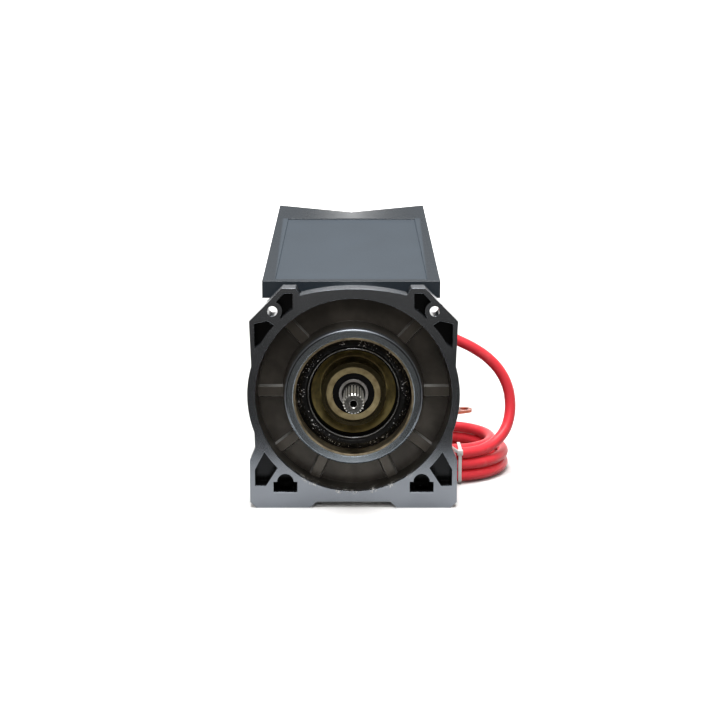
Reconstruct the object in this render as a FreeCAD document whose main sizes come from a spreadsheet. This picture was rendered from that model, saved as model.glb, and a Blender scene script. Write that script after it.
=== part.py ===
"""Motor half of an electric winch: drum support, series motor, control box and battery lead.

Frame: X to the right seen from the drum side, Y from the drum side towards the motor, Z up.
Origin: under the middle of the two foot bolts, on the plane that the feet stand on.
Depths are measured along Y from the front face of the drum support's rim.
"""
import FreeCAD, Part
import math
import os
import Sketcher

V = FreeCAD.Vector

SIZES = [
    # name, value, what it is
    ("axis_height", 96.2, "shaft axis above the feet"),
    ("bolt_spacing", 114.3, "between the two foot bolts"),
    ("bolt_line_depth", 12.0, "foot bolts behind the front face"),
    ("foot_bolt_radius", 6.5, "hole for a foot bolt"),
    ("seat_gap", 0.05, "radial gap of a piece in its seat"),
    ("past", 1.0, "how far a cutting tool runs past a face"),
    ("part_gap", 0.3, "gap between neighbours that only lie side by side"),
    ("rim_radius", 88.5, "outside of the round rim"),
    ("rim_bore", 82.0, "inside of the rim at the front"),
    ("rim_draft", 1.5, "how much the rim's inside closes in"),
    ("rim_width", 16.0, "straight part of the rim's outside"),
    ("dish_depth", 20.0, "floor of the dish"),
    ("hub_radius", 57.0, "hub at its lip"),
    ("hub_base_radius", 60.0, "hub at the floor of the dish"),
    ("hub_proud", 5.0, "hub lip in front of the rim"),
    ("hub_bevel", 1.6, "bevel round the hub lip"),
    ("bush_seat_radius", 50.0, "seat of the drum bush"),
    ("bush_seat_depth", 18.0, "floor of the bush seat"),
    ("bush_wall", 1.6, "wall of the drum bush"),
    ("bush_proud", 0.8, "drum bush inside the hub lip"),
    ("spigot_radius", 38.0, "motor spigot in the support"),
    ("support_depth", 46.0, "back face of the support"),
    ("support_back_radius", 70.0, "back face of the support"),
    ("bowl_radius", 76.0, "back of the bowl"),
    ("bowl_depth", 32.0, "back of the bowl"),
    ("rib_width", 8.0, "top of a rib in the dish"),
    ("rib_height", 3.4, "rib above the dish floor"),
    ("rib_draft", 22.0, "slope of a rib's sides, in degrees"),
    ("rib_overlap", 1.0, "rib inside hub and rim"),
    ("rib_angle_upper", 47.0, "upper ribs above level"),
    ("rib_angle_lower", 38.0, "lower ribs below level"),
    ("rib_angle_bottom", 66.0, "bottom ribs below level"),
    ("flange_depth", 20.0, "corner webs, front to back"),
    ("flange_half_width", 86.3, "upper side wall from the axis"),
    ("ear_top", 90.5, "top of the ears above the axis"),
    ("ear_top_inner", 48.0, "inner end of the flat on an ear"),
    ("ear_top_outer", 59.0, "outer end of the flat on an ear"),
    ("ear_side", 63.0, "top of the side wall above the axis"),
    ("ear_valley", 84.6, "dip between ear and arch above the axis"),
    ("ear_valley_half", 44.0, "dip between ear and arch from the axis"),
    ("arch_top", 90.2, "arch between the ears above the axis"),
    ("ear_hole_x", 67.0, "tie hole from the axis"),
    ("ear_hole_z", 71.4, "tie hole above the axis"),
    ("ear_hole_radius", 4.25, "tie hole"),
    ("ear_boss_radius", 8.0, "boss around a tie hole"),
    ("pocket_wall", 4.2, "wall outside a corner pocket"),
    ("pocket_depth", 15.0, "corner pockets"),
    ("ear_pocket_x", 50.0, "inner side of an upper pocket from the axis"),
    ("foot_pocket_floor", 19.0, "floor of a foot's corner pocket above the feet"),
    ("foot_pocket_side", 33.1, "side wall of a foot's corner pocket above the feet"),
    ("foot_pocket_x", 73.6, "inner end of a foot's corner pocket from the axis"),
    ("foot_half_width", 86.8, "outside of the feet"),
    ("foot_shoulder", 41.0, "shoulder of the feet"),
    ("foot_slope", 11.0, "height of the shoulder's slope"),
    ("foot_neck", 82.3, "side wall just above the feet"),
    ("foot_block_height", 31.0, "solid foot behind the nut pocket"),
    ("foot_depth", 34.0, "feet, front to back"),
    ("foot_corner", 5.0, "chamfer under the feet"),
    ("relief_half_width", 31.0, "relief between the feet"),
    ("relief_height", 5.2, "relief between the feet"),
    ("relief_slope", 5.5, "sloped end of the relief"),
    ("nut_pocket_half", 10.0, "half width of a nut pocket"),
    ("nut_pocket_floor", 13.6, "floor of a nut pocket above the feet"),
    ("nut_pocket_height", 8.9, "straight part of a nut pocket"),
    ("nut_dome_radius", 6.9, "round top of a nut pocket"),
    ("nut_pocket_depth", 24.0, "nut pocket, front to back"),
    ("seal_lip", 2.0, "chamfer of the grease seal"),
    ("seal_depth", 9.0, "front of the grease seal"),
    ("seal_dish", 1.0, "hollow of the grease seal"),
    ("seal_rim", 4.0, "sloped outer part of the grease seal"),
    ("seal_slope", 3.0, "how far back the grease seal's outer part reaches"),
    ("bell_front", 14.0, "front of the motor spigot"),
    ("bell_lip", 1.0, "straight lip inside the motor spigot"),
    ("bell_floor_width", 1.75, "floor of the recess round the bearing boss"),
    ("bell_flange", 8.0, "thickness of the end bell's flange"),
    ("bell_recess_floor", 28.0, "bottom of the recess round the bearing boss"),
    ("bell_boss_front", 6.0, "front of the bearing boss"),
    ("bell_web_back", 56.0, "back of the end bell's web"),
    ("boss_wall", 3.5, "wall of a bearing boss"),
    ("barrel_radius", 62.0, "outside of the motor barrel"),
    ("barrel_wall", 5.0, "wall of the motor barrel"),
    ("barrel_length", 136.0, "length of the motor barrel"),
    ("spigot_wall", 5.0, "wall of the end bells' spigots in the barrel"),
    ("spigot_length", 6.0, "end bells' spigots in the barrel"),
    ("cap_length", 24.0, "rear cap behind the barrel"),
    ("cap_chamfer", 8.0, "rear cap's chamfer"),
    ("cap_wall", 10.0, "rear cap's back wall"),
    ("cap_hollow", 2.0, "hollow behind the rear bearing"),
    ("bearing_radius", 23.5, "outside of a bearing"),
    ("bearing_width", 14.0, "width of a bearing"),
    ("bearing_front_depth", 8.0, "front of the drive bearing"),
    ("journal_radius", 10.0, "shaft in a bearing"),
    ("inner_land", 12.2, "outside of an inner race"),
    ("outer_land", 17.6, "inside of an outer race"),
    ("ball_radius", 3.6, "bearing ball"),
    ("ball_gap", 0.1, "ball to its groove"),
    ("ball_count", 8.0, "balls in a bearing"),
    ("groove_half", 3.2, "half width of a ball groove"),
    ("groove_flat", 2.0, "half width of a ball groove's bottom"),
    ("shield_width", 1.5, "bearing shield"),
    ("shield_inset", 0.5, "bearing shield behind the race's face"),
    ("journal_setback", 3.0, "drive journal's start behind the bearing's front"),
    ("spline_radius", 8.6, "spline tips"),
    ("spline_proud", 27.0, "shaft end in front of the rim"),
    ("spline_groove", 1.4, "depth of a spline groove"),
    ("spline_groove_half", 0.85, "half width of a spline groove at the tips"),
    ("spline_teeth", 20.0, "teeth of the spline"),
    ("centre_hole_radius", 2.9, "hole in the shaft end"),
    ("centre_hole_bevel", 0.7, "bevel at the hole's mouth"),
    ("centre_hole_depth", 14.0, "hole in the shaft end"),
    ("shaft_radius", 11.5, "shaft between the bearings"),
    ("air_gap", 1.0, "armature to pole shoe"),
    ("core_radius", 40.0, "armature core"),
    ("core_front", 84.0, "front of the armature core"),
    ("core_length", 62.0, "armature core"),
    ("slot_half", 2.0, "half width of an armature slot"),
    ("slot_depth", 8.0, "armature slot"),
    ("slot_count", 16.0, "armature slots"),
    ("winding_radius", 34.0, "end windings"),
    ("winding_length", 12.0, "end windings on each side"),
    ("commutator_radius", 24.0, "commutator"),
    ("commutator_length", 20.0, "commutator"),
    ("coil_overhang", 10.0, "field coil past its pole"),
    ("coil_thick", 8.0, "field coil, radially"),
    ("coil_lift", 3.0, "field coil outside the pole's face"),
    ("pole_half_angle", 27.0, "pole shoe"),
    ("coil_half_angle", 38.0, "field coil"),
    ("brush_width", 8.0, "brush across the shaft"),
    ("brush_length", 14.0, "brush along its travel"),
    ("brush_depth", 12.0, "brush along the shaft"),
    ("brush_ring_thick", 3.0, "brush ring"),
    ("spring_thick", 1.2, "brush spring leaf"),
    ("tie_bolt_radius", 3.0, "long bolts through the motor"),
    ("tie_bolt_circle", 48.5, "long bolts from the axis"),
    ("tie_bolt_thread", 9.0, "long bolts in the end bell"),
    ("tie_head_radius", 5.5, "head of a long bolt"),
    ("tie_head_height", 5.0, "head of a long bolt"),
    ("bell_bolt_radius", 3.0, "end bell bolts"),
    ("bell_bolt_circle", 65.8, "end bell bolts from the axis"),
    ("bell_bolt_thread", 9.0, "end bell bolts in the support"),
    ("bell_head_radius", 3.6, "head of an end bell bolt"),
    ("bell_head_height", 4.0, "head of an end bell bolt"),
    ("pole_screw_radius", 4.0, "pole screw in its pole"),
    ("pole_head_radius", 6.5, "head of a pole screw"),
    ("pole_head_proud", 0.8, "head of a pole screw outside the barrel"),
    ("pole_head_height", 3.0, "head of a pole screw"),
    ("pole_screw_reach", 6.0, "pole screw inside the pole"),
    ("box_offset", -2.0, "control box beside the axis"),
    ("box_front", 45.0, "front of the control box"),
    ("box_length", 165.0, "control box, front to back"),
    ("box_front_half", 76.5, "half width of the box at its front"),
    ("box_rear_half", 70.4, "half width of the box at its rear"),
    ("box_floor", 75.0, "underside of the box above the axis"),
    ("box_front_top", 89.6, "top of the box at its front above the axis"),
    ("box_rear_top", 140.0, "top of the box at its rear above the axis"),
    ("box_wall", 3.0, "wall of the box cover"),
    ("box_dip", 7.0, "dip in the middle of the rear edge"),
    ("panel_side", 11.0, "border beside the sunk panel"),
    ("panel_front", 4.0, "border in front of the sunk panel"),
    ("panel_rear", 32.0, "border behind the sunk panel"),
    ("panel_sink", 1.4, "depth of the sunk panel"),
    ("base_plate", 3.0, "base plate of the box"),
    ("post_radius", 5.0, "screw post in the cover"),
    ("post_inset", 9.0, "screw posts from the box's walls"),
    ("cover_screw_radius", 2.0, "cover screw"),
    ("cover_screw_length", 9.0, "cover screw in its post"),
    ("cover_screw_room", 2.0, "hole past the end of a cover screw"),
    ("cover_head_radius", 4.0, "head of a cover screw"),
    ("cover_head_height", 2.5, "head of a cover screw"),
    ("saddle_half", 30.0, "half width of the saddle"),
    ("saddle_front", 66.0, "front of the saddle"),
    ("saddle_length", 50.0, "saddle, front to back"),
    ("saddle_skirt", 10.0, "saddle below the barrel's top"),
    ("saddle_bolt_radius", 3.0, "saddle bolt"),
    ("saddle_bolt_inset", 12.0, "saddle bolts from the saddle's ends"),
    ("saddle_head_radius", 5.0, "head of a saddle bolt"),
    ("saddle_head_height", 4.0, "head of a saddle bolt"),
    ("stud_radius", 4.0, "motor terminal"),
    ("stud_depth", 168.0, "motor terminals behind the front face"),
    ("stud_pitch", 22.0, "between motor terminals"),
    ("stud_inner", 47.0, "inner end of a terminal above the axis"),
    ("stud_proud", 15.0, "terminal above its insulator"),
    ("insulator_radius", 7.0, "terminal insulator"),
    ("insulator_inner", 52.0, "inner end of an insulator above the axis"),
    ("insulator_proud", 4.0, "insulator above the base plate"),
    ("nut_across", 13.0, "terminal nut across flats"),
    ("nut_height", 6.0, "terminal nut"),
    ("bar_width", 14.0, "bus bar"),
    ("bar_thick", 2.0, "bus bar"),
    ("bar_end", 9.0, "bus bar behind its terminal"),
    ("contactor_half", 34.0, "half width of the contactor"),
    ("contactor_front", 112.0, "front of the contactor"),
    ("contactor_length", 40.0, "contactor, front to back"),
    ("contactor_height", 24.0, "contactor"),
    ("cable_radius", 5.0, "battery lead"),
    ("gland_x", 59.0, "lead gland from the axis"),
    ("gland_depth", 110.0, "lead gland behind the front face"),
    ("gland_flange", 9.0, "lead gland under the base plate"),
    ("gland_neck", 7.4, "lead gland in the base plate"),
    ("gland_tip", 6.3, "lead gland at its lower end"),
    ("gland_drop", 11.0, "lead gland below the base plate"),
    ("gland_collar", 2.5, "collars of the lead gland"),
    ("hank_x", 90.0, "middle of the coiled lead from the axis"),
    ("hank_depth", 118.0, "middle of the coiled lead behind the front face"),
    ("hank_inner", 34.8, "inside of the coiled lead"),
    ("hank_outer", 56.2, "outside of the coiled lead"),
    ("hank_low", 1.5, "underside of the coiled lead"),
    ("hank_high", 32.1, "top of the coiled lead"),
    ("hank_corner", 4.0, "rounding of the coiled lead"),
    ("tie_width", 3.6, "cable tie"),
    ("tie_shift", 4.6, "cable tie beside the coil's middle"),
    ("tie_thick", 1.2, "cable tie"),
    ("tie_slack", 0.8, "cable tie to the coil"),
    ("tail_start", 178.0, "lead's end on top of the coil, first angle"),
    ("tail_end", 115.0, "lead's end on top of the coil, last angle"),
    ("sleeve_radius", 5.9, "sleeve over the cable lug"),
    ("sleeve_length", 20.0, "sleeve over the cable lug"),
    ("lug_length", 29.0, "tongue of the cable lug"),
    ("lug_width", 15.0, "tongue of the cable lug"),
    ("lug_thick", 2.6, "tongue of the cable lug"),
    ("lug_hole_radius", 4.2, "hole in the cable lug"),
]

# Lead from its gland to the coil: X, depth behind the front face, Z.
LEAD_ROUTE = [
    (59.0, 110.0, 167.6), (59.0, 110.0, 154.6), (62.9, 110.2, 142.2), (70.3, 110.6, 131.8),
    (81.0, 111.2, 124.2), (95.0, 111.7, 119.5), (111.0, 112.0, 114.0), (127.0, 111.8, 105.5),
    (139.5, 110.8, 91.5), (146.2, 108.8, 74.5), (147.0, 105.0, 56.0), (142.0, 97.5, 41.0),
    (132.0, 87.5, 31.5), (119.5, 78.0, 27.5),
]

# Angles round the shaft axis, in degrees above level at the right.
BELL_BOLT_ANGLES = (25, 65, 115, 155, 205, 245, 295, 335)
TIE_BOLT_ANGLES = (0, 180)
POLE_ANGLES = (45, 135, 225, 315)
EAR_POCKET_ANGLES = (54, 46.5)
SIDE_POCKET_ANGLES = (43, 29)
FOOT_POCKET_ANGLES = (30, 43)

# Share of a straight run that an arc of the lead may take at each of its ends.
ARC_SHARE = 0.45

doc = FreeCAD.newDocument("winch_motor_half")
sheet = doc.addObject("Spreadsheet::Sheet", "Sizes")
nodes = {}


class Dim:
    """A size with its number and the expression that binds a property to the sheet."""

    def __init__(self, value, text):
        self.value = float(value)
        self.text = text

    @staticmethod
    def of(other):
        return other if isinstance(other, Dim) else Dim(other, repr(float(other)))

    def join(self, sign, other, value):
        return Dim(value, "(%s %s %s)" % (self.text, sign, other.text))

    def __add__(self, other):
        other = Dim.of(other)
        return self.join("+", other, self.value + other.value)

    def __sub__(self, other):
        other = Dim.of(other)
        return self.join("-", other, self.value - other.value)

    def __mul__(self, other):
        other = Dim.of(other)
        return self.join("*", other, self.value * other.value)

    def __truediv__(self, other):
        other = Dim.of(other)
        return self.join("/", other, self.value / other.value)

    def __radd__(self, other):
        return Dim.of(other) + self

    def __rsub__(self, other):
        return Dim.of(other) - self

    def __rmul__(self, other):
        return Dim.of(other) * self

    def __neg__(self):
        return Dim.of(0) - self


def cos_of(angle):
    angle = Dim.of(angle)
    return Dim(math.cos(math.radians(angle.value)), "cos(%s * 1 deg)" % angle.text)


def sin_of(angle):
    angle = Dim.of(angle)
    return Dim(math.sin(math.radians(angle.value)), "sin(%s * 1 deg)" % angle.text)


class Sizes:
    """The sheet's cells by name."""


s = Sizes()
for row, (name, value, note) in enumerate(SIZES, start=1):
    sheet.set("A%d" % row, note)
    sheet.set("B%d" % row, repr(value))
    sheet.setAlias("B%d" % row, name)
    setattr(s, name, Dim(value, "Sizes." + name))
doc.recompute()


def bind(obj, prop, size):
    size = Dim.of(size)
    obj.setExpression(prop, size.text)


def place(obj, x=0, y=0, z=0, rotation=None):
    """Put an object at a point of the part's frame, with its position bound to the sheet."""
    if rotation is not None:
        obj.Placement = FreeCAD.Placement(V(0, 0, 0), rotation)
    for axis, size in zip("xyz", (x, y, z)):
        bind(obj, "Placement.Base." + axis, size)
    return obj


def depth(size):
    """The Y of a depth behind the front face."""
    return size - s.bolt_line_depth


TURN = {
    "z": FreeCAD.Rotation(),
    "-z": FreeCAD.Rotation(V(1, 0, 0), 180),
    "y": FreeCAD.Rotation(V(1, 0, 0), -90),
    "x": FreeCAD.Rotation(V(0, 1, 0), 90),
}


def keep(label, obj):
    """Name a finished sub-part."""
    obj.Label = label
    nodes[label] = obj
    return obj


def cylinder(radius, height, at, along="z"):
    obj = doc.addObject("Part::Cylinder", "round")
    bind(obj, "Radius", radius)
    bind(obj, "Height", height)
    turn = TURN[along] if isinstance(along, str) else along
    return place(obj, *at, rotation=turn)


def box(length, width, height, at, rotation=None):
    obj = doc.addObject("Part::Box", "block")
    bind(obj, "Length", length)
    bind(obj, "Width", width)
    bind(obj, "Height", height)
    return place(obj, *at, rotation=rotation)


def fuse(objs):
    obj = doc.addObject("Part::MultiFuse", "joined")
    obj.Shapes = objs
    return obj


def cut(base, tools):
    obj = doc.addObject("Part::Cut", "cut")
    obj.Base = base
    obj.Tool = tools[0] if len(tools) == 1 else fuse(tools)
    return obj


def group(objs):
    obj = doc.addObject("Part::Compound", "set")
    obj.Links = objs
    return obj


def origin_feature(body, role):
    return [f for f in body.Origin.OriginFeatures if f.Role == role][0]


def new_sketch(body, role, offset=None):
    sketch = body.newObject("Sketcher::SketchObject", "outline")
    sketch.AttachmentSupport = (origin_feature(body, role), [""])
    sketch.MapMode = "FlatFace"
    if offset is not None:
        bind(sketch, "AttachmentOffset.Base.z", offset)
    return sketch


def pin(sketch, geometry, vertex, x, y):
    """Hold a point of the sketch at two bound distances from the sketch's origin."""
    for kind, size in (("DistanceX", Dim.of(x)), ("DistanceY", Dim.of(y))):
        index = sketch.addConstraint(
            Sketcher.Constraint(kind, -1, 1, geometry, vertex, size.value))
        sketch.setExpression("Constraints[%d]" % index, size.text)


def draw_polygon(sketch, points):
    points = [(Dim.of(x), Dim.of(y)) for x, y in points]
    count = len(points)
    corners = [V(x.value, y.value, 0) for x, y in points]
    lines = [Part.LineSegment(corners[i], corners[(i + 1) % count]) for i in range(count)]
    first = sketch.addGeometry(lines, False)[0]
    sketch.addConstraint([
        Sketcher.Constraint("Coincident", first + i, 2, first + (i + 1) % count, 1)
        for i in range(count)])
    for i, (x, y) in enumerate(points):
        pin(sketch, first + i, 1, x, y)


def draw_circle(sketch, x, y, radius):
    x, y, radius = Dim.of(x), Dim.of(y), Dim.of(radius)
    circle = Part.Circle(V(x.value, y.value, 0), V(0, 0, 1), radius.value)
    geometry = sketch.addGeometry(circle, False)
    pin(sketch, geometry, 3, x, y)
    index = sketch.addConstraint(Sketcher.Constraint("Radius", geometry, radius.value))
    sketch.setExpression("Constraints[%d]" % index, radius.text)


def draw_arch(sketch, half, low, top):
    """Piece of a circle over a level chord, from its two ends and its top."""
    rise = top - low
    radius = (half * half + rise * rise) / (2 * rise)
    ends = [V(half.value, low.value, 0), V(-half.value, low.value, 0)]
    arc = Part.Arc(ends[0], V(0, top.value, 0), ends[1])
    curve = sketch.addGeometry(arc, False)
    chord = sketch.addGeometry(Part.LineSegment(ends[1], ends[0]), False)
    sketch.addConstraint(Sketcher.Constraint("Coincident", curve, 2, chord, 1))
    sketch.addConstraint(Sketcher.Constraint("Coincident", curve, 1, chord, 2))
    pin(sketch, chord, 1, -half, low)
    pin(sketch, chord, 2, half, low)
    index = sketch.addConstraint(Sketcher.Constraint("Radius", curve, radius.value))
    sketch.setExpression("Constraints[%d]" % index, radius.text)


def add_feature(body, kind, sketch, length, reverse):
    feature = body.newObject("PartDesign::" + kind, kind.lower())
    feature.Profile = sketch
    bind(feature, "Length", length)
    feature.Reversed = reverse
    return feature


def add_revolution(body, sketch, axis_role):
    feature = body.newObject("PartDesign::Revolution", "turned")
    feature.Profile = sketch
    feature.ReferenceAxis = (origin_feature(body, axis_role), [""])
    feature.Angle = 360
    return feature


def add_polar_pattern(body, feature, axis_role, count):
    pattern = body.newObject("PartDesign::PolarPattern", "pattern")
    pattern.Originals = [feature]
    pattern.Axis = (origin_feature(body, axis_role), [""])
    pattern.Angle = 360
    bind(pattern, "Occurrences", count)
    body.Tip = pattern
    return pattern


def turned(profile):
    """A body turned about the shaft axis from (depth, radius) points."""
    body = doc.addObject("PartDesign::Body", "turned_piece")
    sketch = new_sketch(body, "YZ_Plane")
    draw_polygon(sketch, profile)
    add_revolution(body, sketch, "Y_Axis")
    return place(body, 0, depth(0), s.axis_height)


def turned_upright(profile, x, y):
    """A body turned about an upright line from (radius, Z) points."""
    body = doc.addObject("PartDesign::Body", "upright_piece")
    sketch = new_sketch(body, "XZ_Plane")
    draw_polygon(sketch, profile)
    add_revolution(body, sketch, "Z_Axis")
    return place(body, x, y, 0)


def round_the_axis(angle):
    """Rotation that swings +X to an angle about the shaft axis, seen from the drum side."""
    return FreeCAD.Rotation(V(0, 1, 0), -angle)


def sector(inner, outer, half_angle, start, length, angle):
    """Part of a tube round the shaft axis, centred on an angle seen from the drum side."""
    pieces = []
    for radius in (outer, inner):
        piece = doc.addObject("Part::Cylinder", "sector")
        bind(piece, "Radius", radius)
        bind(piece, "Height", length)
        bind(piece, "Angle", 2 * half_angle)
        spin = FreeCAD.Rotation(V(0, 0, 1), -angle - half_angle.value)
        place(piece, 0, depth(start), s.axis_height, TURN["y"].multiply(spin))
        pieces.append(piece)
    return cut(pieces[0], [pieces[1]])


def mirrored_points(points):
    return [points, [(-Dim.of(x), z) for x, z in reversed(points)]]


def make_drum_support():
    """Casting with dish, hub, ribs, tie ears and feet."""
    body = doc.addObject("PartDesign::Body", "support_casting")
    place(body, 0, depth(0), s.axis_height)
    floor = -s.axis_height

    # Corner webs: half an outline from the relief round to the ear, then its mirror image.
    half = [
        (s.relief_half_width, floor + s.relief_height),
        (s.relief_half_width + s.relief_slope, floor),
        (s.foot_half_width - s.foot_corner, floor),
        (s.foot_half_width, floor + s.foot_corner),
        (s.foot_half_width, floor + s.foot_shoulder),
        (s.foot_neck, floor + s.foot_shoulder + s.foot_slope),
        (s.flange_half_width, s.ear_side),
        (s.ear_top_outer, s.ear_top), (s.ear_top_inner, s.ear_top),
        (s.ear_valley_half, s.ear_valley)]
    outline = half + mirrored_points(half)[1]
    sketch = new_sketch(body, "XZ_Plane")
    draw_polygon(sketch, outline)
    add_feature(body, "Pad", sketch, s.flange_depth, True)
    sketch = new_sketch(body, "XZ_Plane")
    draw_arch(sketch, s.ear_valley_half, s.ear_valley, s.arch_top)
    add_feature(body, "Pad", sketch, s.flange_depth, True)

    # Solid feet behind the nut pockets and the bar that joins them under the bowl.
    foot_top = floor + s.foot_block_height
    bar_low = floor + s.relief_height
    foot = half[:4] + [(s.foot_half_width, foot_top), (s.relief_half_width, foot_top)]
    bar = [
        (-s.relief_half_width, bar_low), (s.relief_half_width, bar_low),
        (s.relief_half_width, foot_top), (-s.relief_half_width, foot_top)]
    for outlines in (mirrored_points(foot), [bar]):
        sketch = new_sketch(body, "XZ_Plane", -s.rim_width)
        for points in outlines:
            draw_polygon(sketch, points)
        add_feature(body, "Pad", sketch, s.foot_depth - s.rim_width, True)

    # Blind pockets in the corners, which the rim and the ears' bosses close off later.
    side = s.flange_half_width - s.pocket_wall
    ear_start, ear_stop = EAR_POCKET_ANGLES
    side_start, side_stop = SIDE_POCKET_ANGLES
    foot_start, foot_stop = FOOT_POCKET_ANGLES
    edge = s.rim_bore
    upper = [
        (s.ear_pocket_x, edge * sin_of(ear_start)),
        (s.ear_pocket_x, s.ear_top - s.pocket_wall),
        (s.ear_top_outer - s.pocket_wall / 3, s.ear_top - s.pocket_wall),
        (s.ear_hole_x, s.ear_hole_z + s.pocket_wall),
        (edge * cos_of(ear_stop), edge * sin_of(ear_stop))]
    lower = [
        (edge * cos_of(side_start), edge * sin_of(side_start)),
        (s.ear_hole_x + s.pocket_wall, s.ear_hole_z - s.ear_boss_radius),
        (side, s.ear_side - s.pocket_wall / 2),
        (side, edge * sin_of(side_stop))]
    foot_side = s.foot_half_width - s.pocket_wall
    bolt_x = s.bolt_spacing / 2
    foot_pocket = [
        (edge * cos_of(foot_start), -edge * sin_of(foot_start)),
        (edge * cos_of(foot_stop), -edge * sin_of(foot_stop)),
        (s.foot_pocket_x, floor + s.foot_pocket_floor),
        (foot_side, floor + s.foot_pocket_floor),
        (foot_side, floor + s.foot_pocket_side)]
    sketch = new_sketch(body, "XZ_Plane")
    for corner in (upper, lower, foot_pocket):
        for points in mirrored_points(corner):
            draw_polygon(sketch, points)
    add_feature(body, "Pocket", sketch, s.pocket_depth, False)

    # Round opening of the dish, then the turned bowl with its rim and hub.
    sketch = new_sketch(body, "XZ_Plane")
    draw_circle(sketch, 0, 0, s.rim_bore)
    add_feature(body, "Pocket", sketch, s.dish_depth, False)
    sketch = new_sketch(body, "YZ_Plane")
    lip = -s.hub_proud
    draw_polygon(sketch, [
        (0, s.rim_bore), (s.dish_depth, s.rim_bore - s.rim_draft),
        (s.dish_depth, s.hub_base_radius), (lip + s.hub_bevel, s.hub_radius),
        (lip, s.hub_radius - s.hub_bevel), (lip, s.bush_seat_radius + s.bush_proud),
        (lip + s.bush_proud, s.bush_seat_radius), (s.bush_seat_depth, s.bush_seat_radius),
        (s.bush_seat_depth, s.spigot_radius), (s.support_depth, s.spigot_radius),
        (s.support_depth, s.support_back_radius), (s.bowl_depth, s.bowl_radius),
        (s.rim_width, s.rim_radius), (0, s.rim_radius)])
    add_revolution(body, sketch, "Y_Axis")

    # Bosses and holes of the tie ears.
    sketch = new_sketch(body, "XZ_Plane")
    for x in (s.ear_hole_x, -s.ear_hole_x):
        draw_circle(sketch, x, s.ear_hole_z, s.ear_boss_radius)
    add_feature(body, "Pad", sketch, s.flange_depth, True)
    sketch = new_sketch(body, "XZ_Plane")
    for x in (s.ear_hole_x, -s.ear_hole_x):
        draw_circle(sketch, x, s.ear_hole_z, s.ear_hole_radius)
    add_feature(body, "Pocket", sketch, s.flange_depth + s.foot_depth, False)

    # Nut pockets: a slot with a round roof, open at the front.
    low = floor + s.nut_pocket_floor
    high = low + s.nut_pocket_height
    slot = [
        (bolt_x - s.nut_pocket_half, low), (bolt_x + s.nut_pocket_half, low),
        (bolt_x + s.nut_pocket_half, high), (bolt_x - s.nut_pocket_half, high)]
    sketch = new_sketch(body, "XZ_Plane")
    for points in mirrored_points(slot):
        draw_polygon(sketch, points)
    add_feature(body, "Pocket", sketch, s.nut_pocket_depth, False)
    sketch = new_sketch(body, "XZ_Plane")
    for x in (bolt_x, -bolt_x):
        draw_circle(sketch, x, high, s.nut_dome_radius)
    add_feature(body, "Pocket", sketch, s.nut_pocket_depth, False)

    # Foot bolts, from below into the nut pockets.
    sketch = new_sketch(body, "XY_Plane", floor)
    for x in (bolt_x, -bolt_x):
        draw_circle(sketch, x, s.bolt_line_depth, s.foot_bolt_radius)
    add_feature(body, "Pocket", sketch, s.nut_pocket_floor + s.foot_corner, True)

    # Ribs across the floor of the dish.
    sketch = new_sketch(body, "XZ_Plane", s.rib_height - s.dish_depth)
    inner = s.hub_radius + s.rib_overlap
    outer = s.rim_bore + s.rib_overlap
    half_rib = s.rib_width / 2
    right_angles = [s.rib_angle_upper, Dim.of(0), -s.rib_angle_lower, -s.rib_angle_bottom]
    for angle in right_angles + [180 - a for a in right_angles]:
        across = (-1 * sin_of(angle), cos_of(angle))
        corners = []
        for reach, sideways in ((inner, -1), (outer, -1), (outer, 1), (inner, 1)):
            corners.append((reach * cos_of(angle) + sideways * half_rib * across[0],
                            reach * sin_of(angle) + sideways * half_rib * across[1]))
        draw_polygon(sketch, corners)
    ribs = add_feature(body, "Pad", sketch, s.rib_height + s.rib_overlap, True)
    bind(ribs, "TaperAngle", s.rib_draft)
    body.Tip = ribs

    # Threads for the end bell's bolts in the back face.
    back = s.support_depth - s.bell_bolt_thread
    tools = [bolt_hole(s.bell_bolt_radius, s.bell_bolt_circle, a, back,
                       s.bell_bolt_thread + s.past) for a in BELL_BOLT_ANGLES]
    keep("drum_support", cut(body, tools))


def on_circle(circle, angle):
    """X and Z of a point round the shaft axis."""
    return circle * cos_of(angle), s.axis_height + circle * sin_of(angle)


def bolt_hole(radius, circle, angle, start, length):
    x, z = on_circle(circle, angle)
    return cylinder(radius, length, (x, depth(start), z), "y")



def make_front_seat():
    """Drum bush and the grease seal at the bottom of its seat."""
    bush = turned([
        (s.bush_proud - s.hub_proud, s.bush_seat_radius - s.bush_wall),
        (s.bush_seat_depth, s.bush_seat_radius - s.bush_wall),
        (s.bush_seat_depth, s.bush_seat_radius - s.seat_gap),
        (s.bush_proud - s.hub_proud, s.bush_seat_radius - s.seat_gap)])
    keep("drum_bush", bush)
    low = s.spigot_radius + s.seat_gap
    high = s.bush_seat_radius - s.bush_wall - s.seat_gap
    seal = turned([
        (s.bush_seat_depth, low), (s.seal_depth + s.seal_lip, low),
        (s.seal_depth, low + s.seal_lip), (s.seal_depth + s.seal_dish, high - s.seal_rim),
        (s.seal_depth + s.seal_slope, high), (s.bush_seat_depth, high)])
    keep("grease_seal", seal)


def barrel_front():
    return s.support_depth + s.bell_flange


def barrel_back():
    return barrel_front() + s.barrel_length


def barrel_bore():
    return s.barrel_radius - s.barrel_wall


def rear_bearing_front():
    return barrel_back() + s.cap_length - s.cap_wall - s.bearing_width - s.cap_hollow


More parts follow.
